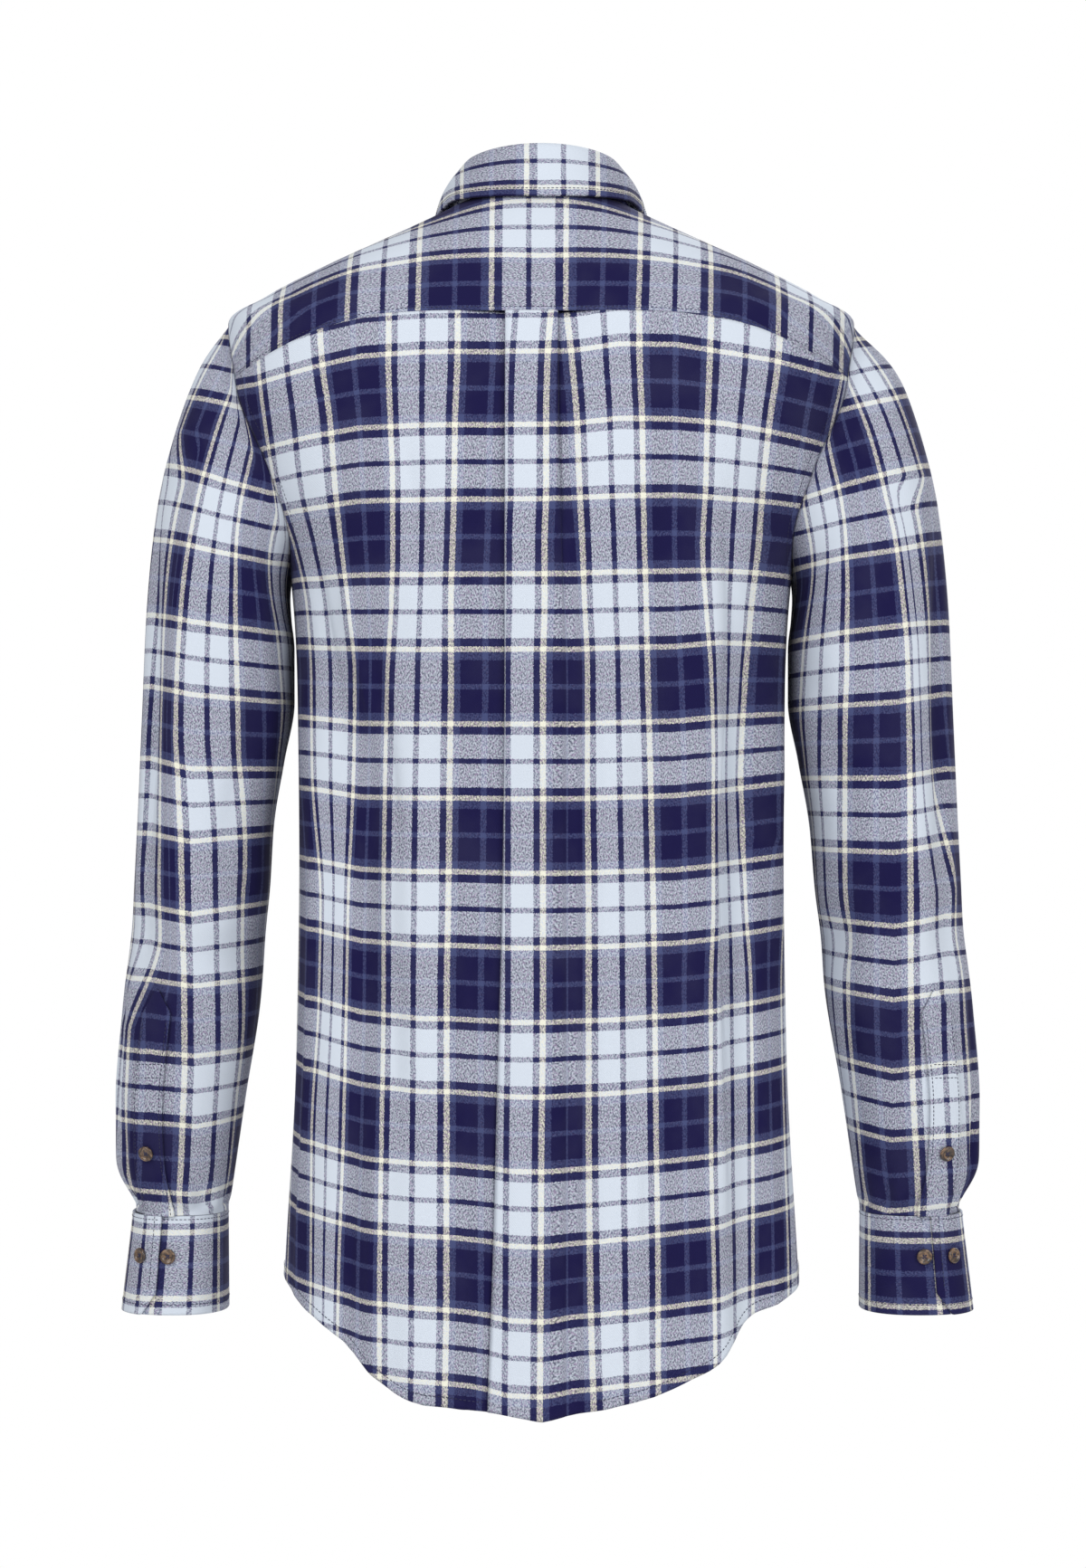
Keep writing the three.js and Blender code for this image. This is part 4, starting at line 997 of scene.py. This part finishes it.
def cuff_point(turn, section, swing):
    rise = smooth(CUFF_START + math.radians(225), CUFF_START + math.radians(345), turn)
    out = sleeve_normal(turn, CUFF_SEAM + 0.5 + 0 * section, swing)
    out[..., 2] = 0
    return sleeve(turn, section, swing) + unit(out) * (rise * (DOUBLED + LIFT))[..., None]


CUFF_TOP_THREAD = {"left": -676, "right": -681.5}
CUFF_ROW_SPACING = 43.8
CUFF_NUMBER_AT_BACK = {"left": 1.27, "right": 0.25}
CUFF_LAP_SHIFT = {"left": 1.57, "right": 1.45}


def cuff_weft(label, turn):
    """Number of the thread that runs down the cuff at a turn, and on its lap."""
    turns = np.linspace(CUFF_START, CUFF_END, 400)
    places = cuff_point(turns, np.full(400, CUFF_SEAM + 0.5), 0)
    along = lengths_along(places)
    from_back = np.interp(turn, turns, along) - np.interp(np.pi / 2, turns, along)
    lap = CUFF_LAP_SHIFT[label] * smooth(1.5 * np.pi, 2 * np.pi, turn)
    return CUFF_NUMBER_AT_BACK[label] + from_back / WEFT_HALF + lap


def cuff_form(label, side, swing):
    def form(across, down):
        cut = CUFF_CORNER * np.clip((down - 0.8) / 0.2, 0, 1)
        turn = mix(CUFF_START, CUFF_END - cut, across)
        section = CUFF_SEAM + mix(0.02, 1, down)
        places = cuff_point(turn, section, swing)
        warp = (CUFF_TOP_THREAD[label] - places[:, 2]) / CUFF_ROW_SPACING
        return mirrored(places, side), np.stack([warp, cuff_weft(label, turn)], axis=-1)
    return form


for label, side, swing in SLEEVES:
    cloth_piece(
        f"sleeve_placket_strip_{label}", 16, 110, sleeve_placket_form(label, side, swing),
        [f"sleeve_placket_{label}"], flip=side < 0)
    cloth_piece(
        f"cuff_strip_{label}", 180, 40, cuff_form(label, side, swing), [f"cuff_{label}"],
        thickness=DOUBLED, flip=side < 0)

# %% [markdown]
# ## The collar
# The stand is a doubled band that rises from the neck seam. The leaf is sewn to its top,
# rolls over and falls to the shirt, with its two points at the front.

# %% The collar
STAND_TOP = (48.5, 53, 63, 2.1)          # half width, back, front, fullness
STAND_TOP_HEIGHTS = (25, 30.4, -49)      # side, back, front
STAND_FOOT_GAP = 0.9
STAND_END = math.radians(193)
LEAF_END = math.radians(171)
LEAF_POINT = math.radians(153)
LEAF_EDGE = table(["share", "level"], [
    [0, 0.3], [0.3, 0.22], [0.5, 0.12], [0.65, 0.4], [0.82, 1.2], [1, 2.5],
])
LEAF_PATH = table(["out", "up"], [[-2.0, 2.6], [-1.4, 4.8], [1.6, 5.2], [4.6, 2.5]])
LEAF_BELLY = table(["share", "belly"], [
    [0, 0], [0.1, 0.5], [0.45, 2.5], [0.6, 4.5], [0.8, 8], [1, 7],
])
LEAF_ROLL_PART = 0.2
LEAF_DEPTH = 52       # length of the leaf's cloth from its roll to its edge
LEAF_ROW = 7          # height of the lowest cream row above the edge
LEAF_THREAD = 9.6     # distance across of the cream thread number -1
LEAF_SPACING = 48
LEAF_GIRTH = 74


def stand_point(angle, share):
    lap = (DOUBLED + LIFT) * smooth(math.radians(140), math.radians(162), angle)
    radius = mix(ring_radius(0 * angle, angle), rounded(angle, *STAND_TOP), share) + lap
    foot = ring_height(0 * angle, angle) + STAND_FOOT_GAP
    return round_point(angle, radius, mix(foot, tilted(angle, *STAND_TOP_HEIGHTS), share))


def stand_form(across, down):
    end = STAND_END - math.radians(6) * (1 - down)
    angle = (across * 2 - 1) * -end
    places = stand_point(angle, 1 - down)
    grain = np.stack([down * 30 / WARP_HALF, angle * 60 / WEFT_HALF], axis=-1)
    return places, grain


def leaf_form(across, down):
    share = 1 - across * 2
    angle = LEAF_END * share
    outwards = np.stack([np.sin(angle), np.cos(angle), 0 * angle], axis=-1)
    upwards = np.array([0, 0, 1.0])
    row = np.clip(down / LEAF_ROLL_PART, 0, 1) * (len(LEAF_PATH) - 1)
    top = stand_point(angle, 1 + 0 * angle)
    roll = top + outwards * curve(LEAF_PATH, "out", row)[:, None]
    roll = roll + upwards * curve(LEAF_PATH, "up", row)[:, None]
    edge_angle = LEAF_POINT * share
    edge_level = look_up(LEAF_EDGE, "share", np.abs(share), "level")
    edge = body(edge_angle, edge_level)
    edge = edge + body_normal(edge_angle, edge_level) * (DOUBLED + LIFT + 1.2)
    fall = np.clip((down - LEAF_ROLL_PART) / (1 - LEAF_ROLL_PART), 0, 1)
    way = unit(edge * np.array([1, 1, 0]))
    belly = np.sin(np.pi * fall) * look_up(LEAF_BELLY, "share", np.abs(share), "belly")
    places = mix(roll, edge, fall[:, None]) + way * belly[:, None] + upwards * belly[:, None] / 2
    from_edge = LEAF_DEPTH * (1 - down)
    warp = (LEAF_ROW - from_edge) / WARP_HALF
    round_way = LEAF_GIRTH * np.arcsin(np.clip(places[:, 0] / LEAF_GIRTH, -1, 1))
    front_way = np.where(places[:, 1] < 0, -np.sign(share) * places[:, 1], 0)
    weft = (LEAF_THREAD - round_way - front_way) / LEAF_SPACING - 1
    return places, np.stack([warp, weft], axis=-1)


cloth_piece(
    "collar_stand_band", 160, 14, stand_form, ["collar_stand"], thickness=DOUBLED)
cloth_piece(
    "collar_leaf_fold", 180, 40, leaf_form, ["collar_leaf"], thickness=DOUBLED)

# %% [markdown]
# ## The flannel
# The plaid is woven, not printed: striped warp threads cross striped weft threads, and
# each crossing shows half of both. So the material has one colour chart for the warp and
# one for the weft. A fine noise decides which thread lies on top, speck by speck: where
# both threads are navy nothing changes, and where navy crosses light blue it gives the
# speckled heather of brushed flannel.

# %% Yarn colours and stripes
NAVY = (22, 19, 62)
INDIGO = (38, 41, 82)     # the narrow lines on the light ground
SLATE = (64, 71, 110)
LIGHT = (197, 205, 216)
CREAM = (222, 221, 205)


def linear(colour):
    values = [c / 255 for c in colour]
    values = [c / 12.92 if c <= 0.04045 else ((c + 0.055) / 1.055) ** 2.4 for c in values]
    return (*values, 1.0)


WARP_BANDS = [  # colour, and width in hundredths of a half repeat
    (CREAM, 6), (SLATE, 7), (NAVY, 23), (SLATE, 6), (NAVY, 23), (SLATE, 7),
    (CREAM, 6), (INDIGO, 7), (LIGHT, 23), (INDIGO, 6), (LIGHT, 23), (INDIGO, 7),
]
WEFT_BANDS = [
    (CREAM, 6), (SLATE, 9), (NAVY, 26), (SLATE, 6), (NAVY, 26), (SLATE, 9),
    (CREAM, 6), (INDIGO, 9), (LIGHT, 26), (INDIGO, 6), (LIGHT, 26), (INDIGO, 9),
]


def band_ramp(nodes, bands):
    """A ramp of hard bands that begins at the middle of its first band."""
    ramp = nodes.new("ShaderNodeValToRGB")
    ramp.color_ramp.interpolation = "CONSTANT"
    whole = sum(width for _, width in bands)
    elements = ramp.color_ramp.elements
    elements[0].color = linear(bands[0][0])
    elements.remove(elements[1])
    start = bands[0][1] / 2 / whole
    for colour, width in bands[1:] + bands[:1]:
        elements.new(start).color = linear(colour)
        start += width / whole
    return ramp


# %% [markdown]
# ## Building the weave from nodes
# A few helpers keep the node tree readable. `feed` sets a socket or links it, and the
# others each add one node. A noise lies over the grain, in specks of a size in
# millimetres, and `sharpened` gives it harder edges.

# %% Helpers for materials
def new_material(name, **values):
    """A material, its tree, and its shader with values on the shader's own sockets."""
    material = bpy.data.materials.new(name)
    material.use_nodes = True
    shader = material.node_tree.nodes["Principled BSDF"]
    for socket, value in values.items():
        shader.inputs[socket.replace("_", " ")].default_value = value
    return material, material.node_tree, shader


def feed(tree, socket, value):
    if hasattr(value, "is_linked"):
        tree.links.new(value, socket)
    else:
        socket.default_value = value


def add_node(tree, kind, **values):
    node = tree.nodes.new("ShaderNode" + kind)
    for name, value in values.items():
        if hasattr(node, name):
            setattr(node, name, value)
        else:
            feed(tree, node.inputs[name.replace("_", " ")], value)
    return node


def math_node(tree, operation, *values):
    node = add_node(tree, "Math", operation=operation)
    for socket, value in zip(node.inputs, values):
        feed(tree, socket, value)
    return node.outputs[0]


def on_grain(tree, grain, across, down, turn=0):
    """The place on the grain, turned and stretched."""
    mapping = add_node(tree, "Mapping", Vector=grain, Rotation=(0, 0, turn))
    mapping.inputs["Scale"].default_value = (across / MM, down / MM, 1)
    return mapping.outputs["Vector"]


def grain_noise(tree, grain, size, stretch=(1, 1), turn=0, detail=1.0):
    place = on_grain(tree, grain, stretch[0] / size, stretch[1] / size, turn)
    return add_node(
        tree, "TexNoise", noise_dimensions="2D", Vector=place, Scale=1.0, Detail=detail,
    ).outputs["Fac"]


def sharpened(tree, value, low, high):
    node = add_node(tree, "MapRange", interpolation_type="SMOOTHSTEP", From_Min=low, From_Max=high)
    feed(tree, node.inputs["Value"], value)
    return node.outputs["Result"]


def mixed(tree, factor, first, second):
    node = add_node(tree, "Mix", data_type="RGBA")
    for name, value in (("Factor", factor), ("A", first), ("B", second)):
        feed(tree, [one for one in node.inputs if one.name == name and one.enabled][0], value)
    return [one for one in node.outputs if one.enabled][0]


# %% Flannel material
SPECK_SIZE = 1.1        # mm, of the heather's specks
SPECK_TURN = math.radians(40)
LEAST_ON_TOP = 0.17     # least and extra share of the weft in a speck
MORE_ON_TOP = 0.66
EDGE_WANDER = 0.35      # mm, how ragged the edge of a stripe is
EDGE_GRAIN = 0.7        # mm, of that raggedness
TINT = (158, 134, 168)  # the mauve specks where dark and light threads cross
TINT_SIZE = 1.5
TINT_SHARE = 0.75
FADED = (190, 194, 205)
FADED_SIZE = 38
FADED_SHARE = 0.015
TWILL_STEP = 1.1        # mm, between the diagonal ribs
TWILL_TURN = math.radians(38)
TWILL_HEIGHT = 0.22
NAP_SIZE = 0.8


def woven_colour(tree, grain):
    repeats = on_grain(tree, grain, 0.5 / WARP_HALF, 0.5 / WEFT_HALF)
    split = add_node(tree, "SeparateXYZ", Vector=repeats)
    threads = []
    for axis, bands, half, stretch in [
            ("X", WARP_BANDS, WARP_HALF, (0.35, 1)), ("Y", WEFT_BANDS, WEFT_HALF, (1, 0.35))]:
        wander = math_node(tree, "SUBTRACT", grain_noise(tree, grain, EDGE_GRAIN, stretch), 0.5)
        wander = math_node(tree, "MULTIPLY", wander, 2 * EDGE_WANDER / half)
        place = math_node(tree, "ADD", split.outputs[axis], wander)
        ramp = band_ramp(tree.nodes, bands)
        feed(tree, ramp.inputs["Fac"], math_node(tree, "FRACT", place))
        threads.append(ramp.outputs["Color"])
    speck = grain_noise(tree, grain, SPECK_SIZE, (1.25, 0.8), SPECK_TURN, 2.0)
    on_top = math_node(
        tree, "MULTIPLY_ADD", sharpened(tree, speck, 0.3, 0.7), MORE_ON_TOP, LEAST_ON_TOP)
    woven = mixed(tree, on_top, *threads)
    greys = [add_node(tree, "RGBToBW", Color=thread).outputs[0] for thread in threads]
    contrast = math_node(tree, "ABSOLUTE", math_node(tree, "SUBTRACT", *greys))
    tint = sharpened(tree, grain_noise(tree, grain, TINT_SIZE, turn=0.7), 0.5, 0.68)
    tint = math_node(tree, "MULTIPLY", math_node(tree, "MULTIPLY", tint, contrast), TINT_SHARE)
    woven = mixed(tree, tint, woven, linear(TINT))
    wear = sharpened(tree, grain_noise(tree, grain, FADED_SIZE, turn=0.3, detail=3.0), 0.35, 0.8)
    return mixed(tree, math_node(tree, "MULTIPLY", wear, FADED_SHARE), woven, linear(FADED))


flannel, tree, shader = new_material(
    "flannel", Roughness=0.88, Specular_IOR_Level=0.12, Sheen_Weight=0.03, Sheen_Roughness=0.45)
grain = add_node(tree, "UVMap", uv_map="grain").outputs["UV"]
feed(tree, shader.inputs["Base Color"], woven_colour(tree, grain))
ribs = add_node(
    tree, "SeparateXYZ",
    Vector=on_grain(tree, grain, 1 / TWILL_STEP, 1 / TWILL_STEP, TWILL_TURN)).outputs["X"]
twill = math_node(tree, "SINE", math_node(tree, "MULTIPLY", ribs, 2 * math.pi))
twill = math_node(tree, "MULTIPLY", twill, TWILL_HEIGHT)
nap = math_node(tree, "ADD", twill, grain_noise(tree, grain, NAP_SIZE, turn=0.5, detail=3.0))
bump = add_node(tree, "Bump", Strength=0.35, Distance=0.35 * MM, Height=nap)
feed(tree, shader.inputs["Normal"], bump.outputs["Normal"])
for name in sheet_area:
    bpy.data.objects[name].data.materials.append(flannel)
print("flannel on", len(sheet_area), "pieces")

# %% [markdown]
# ## What was cut
# Each piece hangs from one root, and its area of cloth, in square metres, is summed from its
# faces as it is made, and printed. A cut piece is rarely a rectangle, so its area is not its width
# times its length.

# %% [markdown]
# ## Horn buttons
# A shirt button is a small turned disc: a low rim, a sunk middle and four holes, sewn on
# with a cross of thread. The profile from the middle to the rim is spun round the
# button's own axis. The holes are not cut through: each is a flat disc in the thread's
# colour, a hair above the sunk middle, that stands for the thread in the hole and for the
# painted shade down in it. The CAD button gives the place and the direction: its shortest
# axis is the one that the thread goes through.

# %% Button materials
HORN = [(0.36, (38, 30, 27)), (0.5, (80, 61, 47)), (0.64, (124, 98, 74))]
THREAD = (44, 45, 78)

horn, tree, shader = new_material("horn_button", Roughness=0.32, Coat_Weight=0.25)
place = add_node(tree, "TexCoord").outputs["Object"]
clouds = add_node(tree, "TexNoise", Vector=place, Scale=260.0, Detail=4.0, Distortion=1.2)
ramp = add_node(tree, "ValToRGB", Fac=clouds.outputs["Fac"])
ramp.color_ramp.elements.new(0.5)
for element, (position, colour) in zip(ramp.color_ramp.elements, HORN):
    element.position = position
    element.color = linear(colour)
feed(tree, shader.inputs["Base Color"], ramp.outputs["Color"])

navy_thread, tree, shader = new_material("navy_thread", Roughness=0.75)
place = add_node(tree, "TexCoord").outputs["Object"]
ply = add_node(tree, "TexNoise", Vector=place, Scale=2400.0, Detail=2.0).outputs["Fac"]
dark = linear([0.7 * part for part in THREAD])
feed(tree, shader.inputs["Base Color"], mixed(tree, ply, dark, linear(THREAD)))
print("button and thread materials made")

# %% The buttons
BUTTON_PROFILE = [  # radius and height in mm, from the middle of the front to the back
    (0, 0.3), (2.5, 0.3), (3.1, 0.5), (3.6, 1.0), (4.3, 1.15), (4.9, 0.85), (5.15, 0.3),
    (5.1, -0.3), (4.5, -0.9), (3.4, -1.1), (0, -1.1),
]
BUTTON_SEGMENTS = 40
# The four hole discs are dark in the thread's colour: thread in the holes, and painted shade for their
# depth.
HOLE_FROM_MIDDLE = 1.15
HOLE_RADIUS = 0.62
HOLE_DEPTH = 0.3
HOLE_HEIGHT = 0.18
THREAD_BAR = (2.5, 0.42, 0.3)
THREAD_BAR_HEIGHT = 0.42


def turned_button(bm):
    spine = [bm.verts.new((radius * MM, 0, height * MM)) for radius, height in BUTTON_PROFILE]
    edges = [bm.edges.new(pair) for pair in zip(spine, spine[1:])]
    bmesh.ops.spin(
        bm, geom=spine + edges, cent=(0, 0, 0), axis=(0, 0, 1), angle=2 * math.pi,
        steps=BUTTON_SEGMENTS, use_merge=True)
    bmesh.ops.remove_doubles(bm, verts=bm.verts, dist=0.001 * MM)
    bmesh.ops.recalc_face_normals(bm, faces=bm.faces)


# Each hole is a closed disc a hair proud of the sunk middle, not a cut: thread and painted shade at
# once.
def hole_shade_discs_and_thread(bm):
    for quarter in range(4):
        turn = Matrix.Rotation(math.radians(45 + 90 * quarter), 4, "Z")
        bmesh.ops.create_cone(
            bm, cap_ends=True, segments=14, radius1=HOLE_RADIUS * MM, radius2=HOLE_RADIUS * MM,
            depth=HOLE_DEPTH * MM,
            matrix=turn @ Matrix.Translation((HOLE_FROM_MIDDLE * MM, 0, HOLE_HEIGHT * MM)))
    for half in range(2):
        turn = Matrix.Rotation(math.radians(45 + 90 * half), 4, "Z")
        height = THREAD_BAR_HEIGHT + 0.1 * half
        size = Matrix.Diagonal([part * MM for part in THREAD_BAR] + [1])
        made = bmesh.ops.create_cube(
            bm, size=1, matrix=turn @ Matrix.Translation((0, 0, height * MM)) @ size)
        bar_edges = list({edge for vert in made["verts"] for edge in vert.link_edges})
        bmesh.ops.bevel(
            bm, geom=bar_edges, offset=0.12 * MM, segments=2, profile=0.5, affect="EDGES",
            material=-1)


def button_frame(node, outwards):
    """Turn and place of a CAD button, with its axis pointing away from the cloth."""
    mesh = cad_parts[node].data
    points = np.array([vert.co for vert in mesh.vertices])
    middle = (points.min(axis=0) + points.max(axis=0)) / 2
    axis = Vector(np.linalg.svd(points - points.mean(axis=0))[2][2])
    if axis.dot(outwards) < 0:
        axis.negate()
    return Matrix.Translation(middle) @ axis.to_track_quat("Z", "Y").to_matrix().to_4x4()


button_nodes = [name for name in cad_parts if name.startswith("button_")]
button_nodes.remove("button_band")
for node in button_nodes:
    on_front = "front" in node or "stand" in node
    bm = bmesh.new()
    turned_button(bm)
    horn_faces = set(bm.faces)
    hole_shade_discs_and_thread(bm)
    # All but the horn takes the thread's material: the cross of thread, and the hole discs, which are
    # thread and painted shade.
    for face in bm.faces:
        face.material_index = 0 if face in horn_faces else 1
    place = button_frame(node, Vector((0, -1 if on_front else 1, 0)))
    bmesh.ops.transform(bm, matrix=place, verts=bm.verts)
    button = finish_piece(node.replace("button_", "horn_button_"), bm, [node], horn)
    button.data.materials.append(navy_thread)

# %% [markdown]
# ## Stitching
# Rows of navy thread hold the folded edges down: beside the armholes, under the yoke, on
# the collar, the plackets, the cuffs and the hem. A row is thousands of short stitches, so
# each one is a small stretched ball with a few faces, set along a line that is drawn on the
# same form as the cloth, a hair above it.

# %% Make a row of stitches
STITCH_LENGTH = 2.3
STITCH_GAP = 0.5
STITCH_WIDTH = 0.6
STITCH_HEIGHT = 0.3
STITCH_LIFT = 0.12
stitch_count = 0


def along_line(places, normals, spacing):
    """Points, directions and normals at even steps along a line of places."""
    length = lengths_along(places)
    stops = np.arange(spacing / 2, length[-1], spacing)

    def at(stop, values):
        return np.stack([np.interp(stop, length, column) for column in values.T], axis=1)

    way = at(stops + STITCH_LENGTH / 2, places) - at(stops - STITCH_LENGTH / 2, places)
    return at(stops, places), unit(way), unit(at(stops, normals))


def stitch_row(name, *lines):
    global stitch_count
    bm = bmesh.new()
    size = Matrix.Diagonal((STITCH_LENGTH * MM, STITCH_WIDTH * MM, STITCH_HEIGHT * MM, 1))
    for places, normals in lines:
        for middle, way, normal in zip(*along_line(places, normals, STITCH_LENGTH + STITCH_GAP)):
            aside = Vector(np.cross(normal, way)).normalized()
            turn = Matrix((way, aside, Vector(way).cross(aside))).transposed().to_4x4()
            lift = Vector(normal) * STITCH_LIFT
            where = Matrix.Translation((Vector(middle) + lift) * MM)
            bmesh.ops.create_icosphere(bm, subdivisions=1, radius=0.5, matrix=where @ turn @ size)
            stitch_count += 1
    finish_piece(name, bm, [], navy_thread)


def on_body(angle, level, lift=0.0):
    angle, level = np.broadcast_arrays(np.asarray(angle, float), np.asarray(level, float))
    normal = body_normal(angle, level)
    return body(angle, level) + normal * lift, normal


# %% [markdown]
# ## Where the rows run
# The body's rows follow its seams and its hem. Beside an armhole the row runs 9 mm inside
# the edge of the back and front; under the yoke it lies on the yoke itself, 2 mm above
# the seam.

# %% Rows on the body
ARMHOLE_ROW_INSET = 9
HEM_ROW = 6.5
row_turns = np.linspace(0.02, 2 * np.pi - 0.02, 260)
armhole_angles, armhole_levels = armhole_place(row_turns)


def inside_armhole(inset):
    """A line on the body a little inside the armhole seam, at its back and its front."""
    edge = body(armhole_angles, armhole_levels)
    way = unit(np.gradient(edge, axis=0))
    away = np.cross(body_normal(armhole_angles, armhole_levels), way)
    middle = edge.mean(axis=0)
    away = away * np.sign(np.sum(away * (edge - middle), axis=1))[:, None]
    moved = edge + away * inset
    angle = np.arctan2(moved[:, 0], moved[:, 1])
    return angle, level_at(angle, moved[:, 2])


inner_angles, inner_levels = inside_armhole(ARMHOLE_ROW_INSET)
at_back = (row_turns > YOKE_BACK_TURN) & (row_turns < 0.93 * np.pi)
at_front = (row_turns > 1.07 * np.pi) & (row_turns < 2 * np.pi + YOKE_FRONT_TURN)
for label, side in (("left", 1), ("right", -1)):
    stitch_row(
        f"stitches_armhole_{label}",
        on_body(side * inner_angles[at_back], inner_levels[at_back]),
        on_body(side * inner_angles[at_front], inner_levels[at_front]))

yoke_turns = np.linspace(-1, 1, 240) * corner_angle * 0.995
yoke_above = body(yoke_turns, yoke_level(yoke_turns))[:, 2] + 2.2
stitch_row("stitches_yoke", on_body(yoke_turns, level_at(yoke_turns, yoke_above)))
back_hem = np.linspace(-0.5, 0.5, 420) * np.pi * 0.995
hem_above = hem_height(back_hem) + HEM_ROW
off_pleat = np.abs(np.degrees(back_hem)) > 17
hem_line = on_body(back_hem, level_at(back_hem, hem_above), HEM_RIDGE)
left_hem = off_pleat & (back_hem > 0)
right_hem = off_pleat & (back_hem < 0)
hem_parts = [[values[part] for values in hem_line] for part in (left_hem, right_hem)]
stitch_row("stitches_back_hem", *hem_parts)
print("stitches so far:", stitch_count)


# %% Rows on the fronts
def down_front(across, lift):
    down = np.linspace(0.03, 0.985, 300)
    level = front_places(np.ones_like(down), down, PLACKET_WIDTH / 2)[1]
    angle = np.sign(across) * angle_across(level, np.full_like(down, abs(across)), True)
    return on_body(angle, level, lift)


PLACKET_ROW_INSET = 6
placket_rows = PLACKET_WIDTH / 2 - PLACKET_ROW_INSET
stitch_row(
    "stitches_placket",
    down_front(placket_rows, CLOTH + LIFT), down_front(-placket_rows, CLOTH + LIFT))
front_hem = np.linspace(0.505, 0.955, 200) * np.pi
above = hem_height(front_hem) + HEM_ROW
for label, side in (("left", 1), ("right", -1)):
    stitch_row(
        f"stitches_front_hem_{label}",
        on_body(side * front_hem, level_at(front_hem, above), HEM_RIDGE))
print("stitches so far:", stitch_count)


# %% Rows on the sleeves and cuffs
CUFF_ROW_INSET = 6.5
CUFF_HEIGHT = 66


def cuff_line(turns, from_top, side, swing):
    section = CUFF_SEAM + from_top / CUFF_HEIGHT + 0 * turns
    places = cuff_point(turns, section, swing)
    out = sleeve_normal(turns, section, swing)
    return mirrored(places, side), mirrored(out, side)


def strip_line(section, offset, side, swing):
    section, offset = np.broadcast_arrays(np.asarray(section, float), offset)
    places, normal = on_placket(section, offset, swing)
    return mirrored(places, side), mirrored(normal, side)


down_strip = np.linspace(8.1, CUFF_SEAM - 0.06, 160)
across_strip = np.linspace(-8, 8, 12)
for label, side, swing in SLEEVES:
    turns = np.linspace(CUFF_START + 0.05, CUFF_END - 0.06, 300)
    straight = np.linspace(0, 0.75, 20) * CUFF_HEIGHT
    end = np.full(20, CUFF_END - 0.13)
    stitch_row(
        f"stitches_cuff_{label}",
        cuff_line(turns, CUFF_ROW_INSET, side, swing),
        cuff_line(turns, CUFF_HEIGHT - CUFF_ROW_INSET, side, swing),
        cuff_line(end, straight, side, swing))
    stitch_row(
        f"stitches_sleeve_placket_{label}",
        strip_line(down_strip, -8.3, side, swing), strip_line(down_strip, 8.3, side, swing),
        strip_line(8.55, across_strip, side, swing), strip_line(8.7, across_strip, side, swing))
print("stitches so far:", stitch_count)


# %% Rows on the collar
def leaf_line(from_edge):
    share = np.linspace(0.01, 0.99, 500)
    down = np.full_like(share, 1 - from_edge / LEAF_DEPTH)
    places = leaf_form(share, down)[0]
    higher = leaf_form(share, down - 0.03)[0]
    normal = unit(np.cross(np.gradient(places, axis=0), higher - places))
    outwards = np.sum(normal * places * np.array([1, 1, 0]), axis=1)
    return places, normal * np.where(outwards < 0, -1, 1)[:, None]


stitch_row("stitches_collar_leaf", leaf_line(6.0))
print("stitches in all:", stitch_count)

# %% [markdown]
# ## Light and floor
# A plain pale floor far below, a white studio round the shirt, and large soft lights on
# the camera's side.

# %% Stage
FLOOR_HEIGHT = -1.4
bm = bmesh.new()
bmesh.ops.create_circle(bm, cap_ends=True, segments=96, radius=1.5)
bmesh.ops.translate(bm, verts=bm.verts, vec=(0, 0, FLOOR_HEIGHT))
floor_mesh = bpy.data.meshes.new("floor")
bm.to_mesh(floor_mesh)
bm.free()
floor = put("floor", floor_mesh)
floor_mesh.materials.append(
    new_material("pale_floor", Base_Color=(0.86, 0.86, 0.86, 1), Roughness=0.9)[0])

world = bpy.data.worlds.new("studio")
bpy.context.scene.world = world
world.use_nodes = True
tree = world.node_tree
light_round = tree.nodes["Background"]
light_round.inputs["Color"].default_value = (1, 1, 1, 1)
light_round.inputs["Strength"].default_value = 0.55
seen = add_node(tree, "Background", Color=(1, 1, 1, 1))
direct = add_node(tree, "LightPath").outputs["Is Camera Ray"]
choice = add_node(tree, "MixShader", Fac=direct)
tree.links.new(light_round.outputs["Background"], choice.inputs[1])
tree.links.new(seen.outputs["Background"], choice.inputs[2])
tree.links.new(choice.outputs["Shader"], tree.nodes["World Output"].inputs["Surface"])


def softbox(name, place, aim, size, power):
    data = bpy.data.lights.new(name, "AREA")
    data.shape = "RECTANGLE"
    data.size, data.size_y = size
    data.energy = power
    light = put(name, data)
    light.location = place
    light.rotation_euler = (Vector(aim) - Vector(place)).to_track_quat("-Z", "Y").to_euler()


softbox("key", (1.6, 2.6, 1.2), (0, 0, -0.35), (1.6, 2.2), 60)
softbox("fill", (-1.8, 2.4, 0.4), (0, 0, -0.4), (1.6, 2.2), 40)
softbox("front_key", (-1.4, -2.6, 1.2), (0, 0, -0.35), (1.8, 2.2), 60)
bpy.context.scene.view_settings.view_transform = "Standard"

# %% [markdown]
# ## Finish
# The scene is brought up to date.

# %% The end
bpy.context.view_layer.update()
